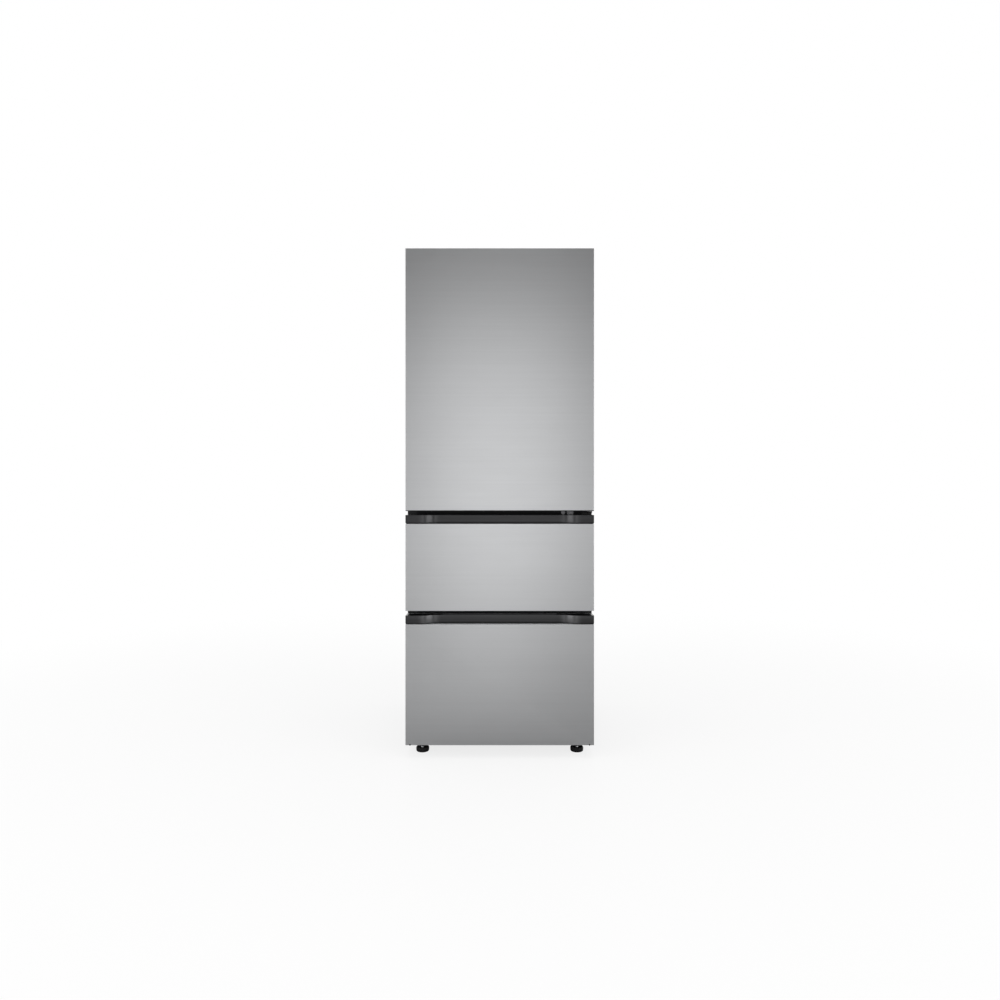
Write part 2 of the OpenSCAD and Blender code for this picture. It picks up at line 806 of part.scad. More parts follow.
// Both fan motors, with the condenser fan's shroud and its spider
module fan_motors() {
    motor_r = 22;
    gap = 2;
    shroud_half = fan_r + 12;
    shroud_w = 30;
    x1 = cfan_x + cfan_w / 2 + gap;
    color("#3a3b3e") {
        translate([0, evap_fan_y + evap_fan_w + gap, fan_z]) rotate([-90, 0, 0]) difference() {
            union() {
                rod(motor_r, room_back - evap_fan_y - evap_fan_w - gap);
                translate([-motor_r - 12, -8, room_back - evap_fan_y - evap_fan_w - gap - 3])
                    cube([2 * motor_r + 24, 16, 3]);
            }
            translate([0, 0, -over]) rod(shaft_r + run_clear, 13);
        }
        difference() {
            translate([x1 + 8 - shroud_w, comp_y - shroud_half, base_z + base_t])
                cube([shroud_w, 2 * shroud_half, cfan_z + shroud_half - base_z - base_t]);
            translate([cfan_x, comp_y, cfan_z]) cross_rod(fan_r + 3, 4 * shroud_w);
        }
        difference() {
            union() {
                translate([x1 + 14, comp_y, cfan_z]) cross_rod(motor_r, 28);
                for (a = [45, 135]) translate([x1 + 4, comp_y, cfan_z]) rotate([a, 0, 0])
                    cube([6, 6, 2 * (fan_r + 5)], center = true);
            }
            translate([x1, comp_y, cfan_z]) cross_rod(shaft_r + run_clear, 30);
        }
    }
}

// Hermetic compressor with domed ends, a welded seam, a foot plate and two ports
module compressor() {
    dome = 34;
    seam = 2.5;
    body_h = comp_h - 2 * dome;
    color("#17181a") difference() {
        union() {
            translate([comp_x, comp_y, comp_z0 + plate_t]) {
                rotate_extrude($fn = 72) polygon(concat(
                    [[0, dome * 0.45]],
                    [for (a = [-60:15:0]) [comp_r * cos(a), dome + dome * 0.6 * sin(a)]],
                    [[comp_r, comp_h * 0.5 - 3], [comp_r + seam, comp_h * 0.5 - 3],
                     [comp_r + seam, comp_h * 0.5 + 3], [comp_r, comp_h * 0.5 + 3]],
                    [for (a = [0:15:90]) [comp_r * cos(a), dome + body_h + dome * sin(a)]]
                ));
                rod(comp_r * 0.5, dome);
            }
            translate([comp_x - comp_plate_half, comp_y - comp_plate_half, comp_z0])
                cube([2 * comp_plate_half, 2 * comp_plate_half, plate_t]);
            for (y = [-port_y, port_y]) translate([comp_x, comp_y + y, port_z])
                rotate([0, 90, 0]) rod(port_r, comp_r + port_l);
        }
        for (x = [-1, 1], y = [-1, 1])
            translate([comp_x + x * comp_foot_half, comp_y + y * comp_foot_half, 0])
                rod(5, machine_top);
    }
}

// Four compressor feet and the bush where the mains lead enters
module rubber_grommets() {
    foot_r = 11;
    waist_r = 8;
    neck_r = 5;
    foot_h = 5;
    cap_h = 4;
    z1 = comp_z0 - base_z - base_t;
    z2 = z1 + plate_t;
    color("#202020") {
        for (x = [-1, 1], y = [-1, 1])
            translate([comp_x + x * comp_foot_half, comp_y + y * comp_foot_half, base_z + base_t])
                rotate_extrude() polygon([
                    [0, 0], [foot_r, 0], [foot_r, foot_h], [waist_r, foot_h + 3],
                    [foot_r - 1, z1], [neck_r, z1], [neck_r, z2], [waist_r + 1, z2],
                    [waist_r, z2 + cap_h], [0, z2 + cap_h]
                ]);
        translate([gland_x, shell_back, gland_z]) rotate([-90, 0, 0]) difference() {
            union() {
                translate([0, 0, -6]) rod(gland_r, 10);
                translate([0, 0, cover_t]) rod(gland_r + 4, back_y - shell_back - cover_t);
                translate([0, 0, -6]) rod(gland_r + 3, 6);
            }
            translate([0, 0, -10]) rod(4, 20);
        }
    }
}
gland_x = half_w - 52;
gland_z = base_z + 34;
gland_r = 8;
cover_t = 1.2;

// Fan-cooled condenser coil between two end plates that stand on the base
module condenser() {
    tube_r = 3.5;
    plate = 2;
    fins = 16;
    fin_t = 1;
    fin_in = 8;
    fin_pitch = (cond_d - 2 * fin_in - plate) / (fins - 1);
    edge = 4;
    top_z = cond_z0 + 22 + 2 * cond_tube_z;
    color("#232427") {
        for (y = [cond_y0, cond_y1 - plate])
            block(cond_x0, cond_x1, y, y + plate, base_z + base_t, cond_z1);
        for (i = [0:fins - 1]) let (y = cond_y0 + fin_in + i * fin_pitch)
            block(cond_x0 + edge, cond_x1 - edge, y, y + fin_t, cond_z0, cond_z1 - edge);
        for (i = [0:2], k = [0:2])
            translate([cond_port_x + i * cond_tube_x, cond_y1, top_z - k * cond_tube_z])
                rotate([90, 0, 0]) rod(tube_r, cond_d);
        for (y = [comp_y - port_y, cond_drier_y])
            translate([cond_port_x, y, top_z]) rod(port_r, cond_port_z - top_z);
    }
}

// Shallow tray that catches the melted frost
module drain_pan() {
    wall = 2.5;
    half_d = 90;
    h = 26;
    r = 10;
    z0 = base_z + base_t;
    color("#46484b") difference() {
        upright(pan_x0, pan_x1, comp_y - half_d, comp_y + half_d, z0, z0 + h, r);
        upright(pan_x0 + wall, pan_x1 - wall, comp_y - half_d + wall, comp_y + half_d - wall,
            z0 + wall, z0 + h + over, r - wall);
    }
}

// A straight length of pipe between two points on one axis, with a round end at b
module pipe_leg(a, b, r) {
    d = b - a;
    translate(a) rotate([0, d[0] != 0 ? 90 * sign(d[0]) : (d[2] < 0 ? 180 : 0), 0])
        rotate([d[1] != 0 ? -90 * sign(d[1]) : 0, 0, 0]) rod(r, norm(d));
}

module pipe(points, r) {
    for (i = [1:len(points) - 1]) pipe_leg(points[i - 1], points[i], r);
    for (i = [1:len(points) - 2]) translate(points[i]) sphere(r);
}

// Discharge and suction lines, and the drier behind the condenser
module refrigerant_pipes() {
    r = 3.2;
    bend = 20;
    out_x = comp_x + comp_r + port_l;
    high_z = cond_z1 + 40;
    drier_r = 9;
    neck = 6;
    rise = ceiling_z - cond_port_z;
    color("#b0714a") {
        pipe([[out_x, comp_y - port_y, port_z], [out_x + bend, comp_y - port_y, port_z],
            [out_x + bend, comp_y - port_y, high_z], [cond_port_x, comp_y - port_y, high_z],
            [cond_port_x, comp_y - port_y, cond_port_z]], r);
        pipe([[out_x, comp_y + port_y, port_z], [out_x + bend, comp_y + port_y, port_z],
            [out_x + bend, comp_y + port_y, ceiling_z]], r);
        translate([cond_port_x, cond_drier_y, cond_port_z]) rotate_extrude() polygon([
            [0, 0], [r, 0], [r, 2 * neck], [drier_r, 3 * neck], [drier_r, rise * 0.6],
            [r, rise * 0.6 + neck], [r, rise], [0, rise]
        ]);
    }
}

// Louvred sheet that closes the machine room
module machine_room_cover() {
    pitch = 14;
    louvre_l = 180;
    louvre_h = 6;
    louvre_up = 60;
    z0 = base_z + 4;
    color("#77797c") difference() {
        wide_block(half_w, shell_back, shell_back + cover_t, z0, machine_top);
        for (x = [-1, 1], i = [0:louvres - 1])
            slot_y(x * (louvre_l / 2 + 40), z0 + louvre_up + i * pitch, louvre_l, louvre_h,
                front_y, back_y);
        translate([gland_x, back_y, gland_z]) rotate([90, 0, 0]) rod(gland_r, 20);
    }
}

// Flat cover over the control board, with vents
module board_cover() {
    board_w = 240;
    board_h = 130;
    vent_l = 120;
    vent_pitch = 10;
    vents = 7;
    vent_z0 = board_z0 + (board_h - (vents - 1) * vent_pitch) / 2;
    color("#c9cccf") difference() {
        translate([0, back_y, board_z0 + board_h / 2]) rotate([90, 0, 0])
            linear_extrude(back_pad_h) rounded(board_w, board_h, 8);
        for (i = [0:vents - 1])
            slot_y(0, vent_z0 + i * vent_pitch, vent_l, 4, front_y, back_y + over);
    }
}

// Tempered glass plates of the two shelves
module shelf_glass() {
    color("#a9c4c4", 0.5) for (z = shelf_z)
        wide_block(glass_half, shelf_y0 + 8, shelf_y1 - 8, z - glass_t, z);
}

// Plastic frames around the glass, standing on the liner's ledges
module shelf_frames() {
    opening = 16;
    color("#bfc3c6") for (z = shelf_z) difference() {
        wide_block(shelf_half, shelf_y0, shelf_y1, z - shelf_frame_h, z);
        wide_block(glass_half, shelf_y0 + 8, shelf_y1 - 8, z - glass_t, z + over);
        wide_block(shelf_half - opening, shelf_y0 + opening, shelf_y1 - opening,
            z - shelf_frame_h - over, z + over);
    }
}

// Wedge-shaped control housing under the upper room's ceiling
control_half = 150;
control_y = case_y + 30;
control_l = 130;
control_h = 26;
control_slope = 34;
control_edge = 4;
module control_panel() {
    color("#2b2d30") translate([-control_half, 0, upper_room_z1]) rotate([90, 0, 90])
        linear_extrude(2 * control_half) polygon([
            [control_y, 0], [control_y, -control_edge], [control_y + control_slope, -control_h],
            [control_y + control_l - 2 * control_edge, -control_h],
            [control_y + control_l, -control_h + 2 * control_edge],
            [control_y + control_l, 0]
        ]);
}

// Lens of the ceiling lamp
lamp_gap = 24;
lamp_half = 80;
lamp_d = 52;
lamp_h = 7;
lamp_wall = 4;
module room_lamp() {
    y0 = control_y + control_l + lamp_gap;
    color("#f2f4f5") difference() {
        upright(-lamp_half, lamp_half, y0, y0 + lamp_d, upper_room_z1 - lamp_h, upper_room_z1, 8);
        upright(lamp_wall - lamp_half, lamp_half - lamp_wall, y0 + lamp_wall,
            y0 + lamp_d - lamp_wall, upper_room_z1 - lamp_h + 2, upper_room_z1 + over, 6);
    }
}

// Door
seal_top = 4;
door_dyke_in = 14;

// Metal skin with folded sides, open at its top and bottom
module door_panel() {
    color("#b4b6b9") difference() {
        wide_block(half_w, front_y, liner_y, door_z0, door_z1);
        wide_block(half_w - panel_t, front_y + panel_t, liner_y + over,
            door_z0 - over, door_z1 + over);
    }
}

module door_foam() {
    color("#e8ddb0") {
        wide_block(half_w - panel_t, front_y + panel_t, liner_y, door_z0 + cap_h, door_z1 - cap_h);
        wide_block(half_w - liner_t, liner_y, front_back - liner_t,
            door_z0 + liner_t, door_z1 - liner_t);
    }
}

// Moulded inner face with a raised frame that reaches into the room
module door_liner() {
    color("#d9dcde") {
        difference() {
            wide_block(half_w, liner_y, front_back, door_z0, door_z1);
            wide_block(half_w - liner_t, liner_y - over, front_back - liner_t,
                door_z0 + liner_t, door_z1 - liner_t);
        }
        difference() {
            tunnel(room_half - door_dyke_in, front_back, front_back + dyke_h,
                upper_room_z0 + door_dyke_in, upper_room_z1 - door_dyke_in, 24);
            tunnel(room_half - door_dyke_in - dyke_w, front_back - over, front_back + dyke_h + over,
                upper_room_z0 + door_dyke_in + dyke_w,
                upper_room_z1 - door_dyke_in - dyke_w, 12);
        }
    }
}

module bush_seat(z) {
    translate([hinge_x, hinge_y, z]) rod(bush_r, pin_l + 2);
}

module door_top_cap() {
    color("#3a3b3e") difference() {
        wide_block(half_w - panel_t, front_y + panel_t, liner_y, door_z1 - cap_h, door_z1);
        bush_seat(door_z1 - pin_l - 2 + 0.001);
    }
}

// Lower cap with the finger pocket that the door is pulled by
module door_bottom_cap() {
    pocket_y = front_y + panel_t + 7;
    color("#232427") difference() {
        wide_block(half_w - panel_t, front_y + panel_t, liner_y, door_z0, door_z0 + cap_h);
        bush_seat(door_z0 - 0.001);
        upright(-grip_half, grip_half, pocket_y, pocket_y + door_grip_w,
            door_z0 - over, door_z0 + cap_h - 6, 8);
    }
}

// Magnetic gasket: a wide foot and a narrower bellows
module gasket(half, z0, z1) {
    step = 2.5;
    foot_h = gasket_gap * 0.4;
    color("#3b3c3e") {
        frame_ring(half, z0, z1, gasket_w, front_back, front_back + foot_h);
        frame_ring(half - step, z0 + step, z1 - step, gasket_w - 2 * step,
            front_back + foot_h, case_y - seal_clear);
    }
}
module door_gasket() {
    gasket(half_w - gasket_side, door_z0 + gasket_inset, case_top - seal_top);
}

// Flanged plastic bushes that the two hinge pins turn in
module door_bushes() {
    gap = 0.3;
    color("#e4e4e0") difference() {
        union() {
            translate([hinge_x, hinge_y, arm_top_z + gap])
                rod(bush_r + 2, door_z0 - arm_top_z - gap);
            translate([hinge_x, hinge_y, door_z0 - over]) rod(bush_r, pin_l + 2 + over);
            translate([hinge_x, hinge_y, door_z1])
                rod(bush_r + 2, top_arm_z - door_z1 - gap);
            translate([hinge_x, hinge_y, door_z1 - pin_l - 2]) rod(bush_r, pin_l + 2 + over);
        }
        translate([hinge_x, hinge_y, door_z0 - 20]) rod(pin_r + run_clear, pin_l + 22);
        translate([hinge_x, hinge_y, door_z1 - pin_l - 2 - over])
            rod(pin_r + run_clear, pin_l + 22);
    }
}

// Drawer fronts

// Metal skin of a drawer front, folded back at its sides and bottom
module drawer_panel(z0, z1) {
    color("#b4b6b9") difference() {
        wide_block(half_w, front_y, liner_y, z0, z1);
        wide_block(half_w - panel_t, front_y + panel_t, liner_y + over, z0 + panel_t, z1 + over);
    }
}
module middle_panel() { drawer_panel(middle_z0, middle_trim_z); }
module lower_panel() { drawer_panel(lower_z0, lower_trim_z); }

// Half outline of the hollow's two tangent arcs, from the middle to the end
function hollow_edge(steps = 9) = let (
        a = acos(1 - hollow_d / (2 * hollow_r)),
        run = 2 * hollow_r * sin(a)
    ) concat(
        [for (i = [0:steps]) let (t = a * i / steps)
            [hollow_half + hollow_r * sin(t), front_y + hollow_d - hollow_r * (1 - cos(t))]],
        [for (i = [steps - 1:-1:0]) let (t = a * i / steps)
            [hollow_half + run - hollow_r * sin(t), front_y + hollow_r * (1 - cos(t))]]
    );

function mirrored(points) = [for (i = [len(points) - 1:-1:0]) [-points[i][0], points[i][1]]];

// Full-width trim with a hollowed middle and a finger pocket behind its lip
module handle(z0) {
    back_wall = 5;
    color("#3a3b3d") difference() {
        translate([0, 0, z0]) linear_extrude(trim_h) polygon(concat(
            [[-half_w, liner_y], [-half_w, front_y]],
            mirrored(hollow_edge()), hollow_edge(),
            [[half_w, front_y], [half_w, liner_y]]
        ));
        upright(-grip_half, grip_half, front_y + hollow_d + grip_lip, liner_y - back_wall,
            z0 + trim_h - grip_depth, z0 + trim_h + over, 8);
    }
}
module middle_handle() { handle(middle_trim_z); }
module lower_handle() { handle(lower_trim_z); }

// Foam-filled inner face of a drawer front
module drawer_front_liner(z0, trim_z, z1) {
    color("#d9dcde") {
        wide_block(half_w - panel_t, front_y + panel_t, liner_y, z0 + panel_t, trim_z);
        wide_block(half_w, liner_y, front_back, z0, z1);
    }
}
module middle_front_liner() { drawer_front_liner(middle_z0, middle_trim_z, middle_z1); }
module lower_front_liner() { drawer_front_liner(lower_z0, lower_trim_z, lower_z1); }

module drawer_gasket(z0, z1) {
    gasket(half_w - gasket_side, z0 + gasket_inset, z1 - gasket_inset);
}
module middle_gasket() { drawer_gasket(middle_z0, middle_z1); }
module lower_gasket() { drawer_gasket(lower_z0, lower_z1); }

// Drawer rails
bracket_gap = 0.6;
bracket_in = rail_d + bracket_gap;
bracket_half_h = 30;
bracket_l = rail_l * 0.62;
rail_lip = 4.4;

// Section of a C rail that opens towards the drawer, with the wall at x = 0
module rail_section(level, lip) {
    nest = rail_t + rail_clear;
    d = rail_d - level * nest;
    h = rail_h / 2 - level * nest;
    x = level * nest;
    l = max(lip, rail_t);
    polygon([
        [x, -h], [d, -h], [d, l - h], [d - rail_t, l - h], [d - rail_t, rail_t - h],
        [x + rail_t, rail_t - h], [x + rail_t, h - rail_t], [d - rail_t, h - rail_t],
        [d - rail_t, h - l], [d, h - l], [d, h], [x, h]
    ]);
}

// A pair of rails at a height, from y0 back over a length
module rail_pair(level, lip, z) {
    both_sides() translate([-room_half, rail_y + rail_l, z]) rotate([90, 0, 0])
        linear_extrude(rail_l) rail_section(level, lip);
}

module rails_outer() {
    color("#9fa3a6") {
        rail_pair(0, rail_lip, middle_rail_z);
        rail_pair(0, rail_lip, lower_rail_z);
    }
}

module rails_center(z) {
    color("#b7babd") rail_pair(1, rail_lip, z);
}
module middle_rails_center() { rails_center(middle_rail_z); }
module lower_rails_center() { rails_center(lower_rail_z); }

// Inner rails with the brackets that hold the basket and the drawer front
module rails_inner(z) {
    web_x = 3 * rail_t + 2 * rail_clear;
    bar_half = rail_h / 2 - rail_lip - 2 * rail_t - 2 * rail_clear - 2;
    fold = 30;
    color("#c3c6c8") {
        rail_pair(2, rail_t, z);
        both_sides() {
            block(-room_half + web_x, -room_half + bracket_in,
                rail_y, rail_y + bracket_l * 0.8, z - bar_half, z + bar_half);
            block(-room_half + bracket_in, -room_half + bracket_in + rail_t,
                front_back, rail_y + bracket_l, z - bracket_half_h, z + bracket_half_h);
            block(-room_half + bracket_in, -room_half + bracket_in + fold,
                front_back, front_back + rail_t, z - bracket_half_h, z + bracket_half_h);
        }
    }
}
module middle_rails_inner() { rails_inner(middle_rail_z); }
module lower_rails_inner() { rails_inner(lower_rail_z); }

// Baskets and containers
basket_fit = 0.5;
basket_half = room_half - bracket_in - rail_t - basket_fit;
box_w = basket_half - basket_wall - box_side_gap - box_gap / 2;
box_pitch = box_w + box_gap;
basket_extra = 2 * (basket_wall + box_gap);
latch_t = 3;

// Tub that hangs by its rim on the rail brackets
module basket(room_z0, rail_z, box_d) {
    rim_h = 3;
    rim_out = 10;
    y1 = basket_y + box_d + basket_extra;
    z0 = room_z0 + basket_clear;
    z1 = rail_z + bracket_half_h;
    r = 18;
    color("#8d9498") difference() {
        union() {
            upright(-basket_half, basket_half, basket_y, y1, z0, z1 + rim_h, r);
            upright(-basket_half - rim_out, basket_half + rim_out,
                basket_y, y1, z1, z1 + rim_h, r);
        }
        upright(basket_wall - basket_half, basket_half - basket_wall,
            basket_y + basket_wall, y1 - basket_wall,
            z0 + basket_wall, z1 + rim_h + over, r - basket_wall);
        for (x = [-1, 1], i = [0:4]) let (y = basket_y + box_d * (0.15 + 0.16 * i))
            upright(x * box_pitch / 2 - 80, x * box_pitch / 2 + 80, y, y + 8,
                z0 - over, z0 + 2 * basket_wall, 3.9);
    }
}
module middle_basket() { basket(middle_room_z0, middle_rail_z, middle_box_d); }
module lower_basket() { basket(lower_room_z0, lower_rail_z, lower_box_d); }

// Deep container with a rim, two moulded bands and round corners
module container(d, h) {
    inset = 3;
    rim_h = 5;
    band_h = 4;
    w = box_w / 2;
    l = d / 2;
    color("#5d5348", 0.8) difference() {
        union() {
            upright(inset - w, w - inset, inset - l, l - inset, 0, h, box_r);
            upright(-w, w, -l, l, h - rim_h, h, box_r + inset);
            for (z = [h * 0.3, h * 0.72])
                upright(inset - w - 1, w - inset + 1, inset - l - 1, l - inset + 1,
                    z, z + band_h, box_r + 1);
        }
        upright(inset + box_wall - w, w - inset - box_wall,
            inset + box_wall - l, l - inset - box_wall, box_wall, h + over, box_r - box_wall);
    }
}

// Lid with a raised edge, a recessed middle and a latch on each end
module container_lid(d, h) {
    edge = 16;
    w = box_w / 2;
    l = d / 2;
    color("#45494d") translate([0, 0, h]) {
        difference() {
            upright(-w, w, -l, l, 0, lid_h, box_r + 3);
            upright(edge - w, w - edge, edge - l, l - edge, lid_h - 5, lid_h + over, box_r - 6);
        }
        for (s = [-1, 1]) {
            upright(-latch_w / 2, latch_w / 2, s * (l + latch_t / 2) - latch_t / 2,
                s * (l + latch_t / 2) + latch_t / 2, -18, lid_h - 1, latch_t / 2 - 0.1);
            block(-latch_w / 2, latch_w / 2, s > 0 ? l : -l - latch_t, s > 0 ? l + latch_t : -l,
                -14, lid_h - 4);
        }
    }
}

// Puts its children at the two places side by side on a floor
module pair_on(floor_z, y0, d) {
    for (x = [-1, 1]) translate([x * box_pitch / 2, y0 + d / 2, floor_z]) children();
}

upper_box_y = case_y + 30;
drawer_box_y = basket_y + basket_wall + box_gap;
middle_floor_z = middle_room_z0 + basket_clear + basket_wall;
lower_floor_z = lower_room_z0 + basket_clear + basket_wall;
upper_box_d = duct_y - upper_box_back - upper_box_y;
middle_box_d = room_back - middle_basket_back - basket_y - basket_extra;
lower_box_d = step_y - lower_basket_back - basket_y - basket_extra;
upper_box_h = shelf_step - shelf_frame_h - upper_box_gap - lid_h;
middle_box_h = middle_room_z1 - middle_box_gap - lid_h - middle_floor_z;
lower_box_h = lower_room_z1 - lower_box_gap - lid_h - lower_floor_z;

module upper_boxes() {
    for (z = [upper_room_z0, shelf_z[0]])
        pair_on(z, upper_box_y, upper_box_d) container(upper_box_d, upper_box_h);
}
module upper_lids() {
    for (z = [upper_room_z0, shelf_z[0]])
        pair_on(z, upper_box_y, upper_box_d) container_lid(upper_box_d, upper_box_h);
}
module middle_boxes() {
    pair_on(middle_floor_z, drawer_box_y, middle_box_d) container(middle_box_d, middle_box_h);
}
module middle_lids() {
    pair_on(middle_floor_z, drawer_box_y, middle_box_d) container_lid(middle_box_d, middle_box_h);
}
module lower_boxes() {
    pair_on(lower_floor_z, drawer_box_y, lower_box_d) container(lower_box_d, lower_box_h);
}
module lower_lids() {
    pair_on(lower_floor_z, drawer_box_y, lower_box_d) container_lid(lower_box_d, lower_box_h);
}

outer_case();
back_panel();
base_plate();
insulation_foam();
upper_liner();
middle_liner();
lower_liner();
mullion_covers();
top_hinge();
hinge_cover();
middle_hinge();
cabinet_fasteners();
air_duct_cover();
evaporator();
fan_motors();
shelf_glass();
shelf_frames();
control_panel();
room_lamp();
compressor();
rubber_grommets();
condenser();
drain_pan();
refrigerant_pipes();
machine_room_cover();
board_cover();
rails_outer();
upper_boxes();
upper_lids();
door_panel();
door_foam();
door_liner();
door_top_cap();
door_bottom_cap();
door_gasket();
door_bushes();
middle_panel();
middle_handle();
middle_front_liner();
middle_gasket();
middle_basket();
middle_rails_inner();
middle_rails_center();
middle_boxes();
middle_lids();
lower_panel();
lower_handle();
lower_front_liner();
lower_gasket();
lower_basket();
lower_rails_inner();
lower_rails_center();
lower_boxes();
lower_lids();
evaporator_fan();
condenser_fan();
roller_left();
roller_right();
foot_left();
foot_right();
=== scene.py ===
"""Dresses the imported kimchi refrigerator: finishes, rounded skins, small fittings, lights and camera."""
import json
import math

import bmesh
import bpy
from mathutils import Matrix, Vector


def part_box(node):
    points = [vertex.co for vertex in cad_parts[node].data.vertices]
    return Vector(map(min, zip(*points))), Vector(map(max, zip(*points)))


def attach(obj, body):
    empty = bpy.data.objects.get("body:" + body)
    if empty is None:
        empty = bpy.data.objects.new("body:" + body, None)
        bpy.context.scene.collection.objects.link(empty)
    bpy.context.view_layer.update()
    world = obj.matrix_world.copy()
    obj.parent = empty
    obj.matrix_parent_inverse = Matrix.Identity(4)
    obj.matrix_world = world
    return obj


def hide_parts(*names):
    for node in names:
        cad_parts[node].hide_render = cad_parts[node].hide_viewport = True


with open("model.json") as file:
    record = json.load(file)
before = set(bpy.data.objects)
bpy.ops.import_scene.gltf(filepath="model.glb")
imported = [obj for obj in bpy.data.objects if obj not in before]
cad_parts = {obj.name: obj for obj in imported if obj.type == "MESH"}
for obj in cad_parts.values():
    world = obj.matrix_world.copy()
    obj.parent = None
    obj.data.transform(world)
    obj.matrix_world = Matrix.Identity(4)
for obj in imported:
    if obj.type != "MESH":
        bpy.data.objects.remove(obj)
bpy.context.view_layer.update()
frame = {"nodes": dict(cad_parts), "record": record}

MM = 0.001
PHOTO_PIXELS = 1000

# Places in the frame that the dressed pieces follow, in metres
DOOR_LO, DOOR_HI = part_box("door_panel")
HALF_W = DOOR_HI.x
FRONT_Y = DOOR_LO.y
LINER_Y = DOOR_HI.y
CASE_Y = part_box("outer_case")[0].y
SHEET = 1 * MM

# Edges that turn by more than this stay sharp
SHARP_ANGLE = math.radians(40)
# Points that are nearer than this are one
SAME_POINT = 0.0001 * MM
FORWARDS, BACKWARDS = -1, 1


# Camera

def add_camera():
    """A level camera in front of the middle, at the distance and height that the photograph gives."""
    door_pixels = 188.7
    metres_a_pixel = 2 * HALF_W / door_pixels
    distance = 2.622
    height = 0.9115
    centre_shift_pixels = 0.26
    sensor = 36.0
    furthest = 60
    data = bpy.data.cameras.new("camera")
    data.sensor_width = sensor
    data.lens = sensor * distance / (PHOTO_PIXELS * metres_a_pixel)
    data.clip_end = furthest
    camera = bpy.data.objects.new("camera", data)
    camera.location = (centre_shift_pixels * metres_a_pixel, FRONT_Y - distance, height)
    camera.rotation_euler = (math.radians(90), 0, 0)
    bpy.context.collection.objects.link(camera)
    bpy.context.scene.camera = camera


# Node helpers

def feed(tree, socket, value):
    """Sets a socket to a number or a colour, or links another node's output to it."""
    if isinstance(value, tuple):
        socket.default_value = (*value, 1)
    elif isinstance(value, (int, float)):
        socket.default_value = value
    else:
        tree.links.new(value, socket)


def mix(tree, kind, factor, a, b):
    """Blends two numbers (FLOAT) or two colours (RGBA) by a factor; a Mix node has sockets for each kind."""
    first, result = {"FLOAT": (2, 0), "RGBA": (6, 2)}[kind]
    made = tree.nodes.new("ShaderNodeMix")
    made.data_type = kind
    feed(tree, made.inputs[0], factor)
    feed(tree, made.inputs[first], a)
    feed(tree, made.inputs[first + 1], b)
    return made.outputs[result]


def calculate(tree, operation, a, b=0.0):
    """One step of arithmetic with outputs or numbers."""
    made = tree.nodes.new("ShaderNodeMath")
    made.operation = operation
    feed(tree, made.inputs[0], a)
    feed(tree, made.inputs[1], b)
    return made.outputs[0]


def coordinate(tree, space, axis):
    """One axis of the object's own coordinates, which are metres here, or of another space."""
    place = tree.nodes.new("ShaderNodeTexCoord")
    split = tree.nodes.new("ShaderNodeSeparateXYZ")
    tree.links.new(place.outputs[space], split.inputs[0])
    return split.outputs[axis]


def fade(tree, value, start, end, low, high):
    """Goes smoothly from low, where the value is at start, to high, where it is at end."""
    ranged = tree.nodes.new("ShaderNodeMapRange")
    ranged.interpolation_type = "SMOOTHSTEP"
    for socket, number in zip(("From Min", "From Max", "To Min", "To Max"), (start, end, low, high)):
        ranged.inputs[socket].default_value = number
    tree.links.new(value, ranged.inputs["Value"])
    return ranged.outputs["Result"]


# Materials

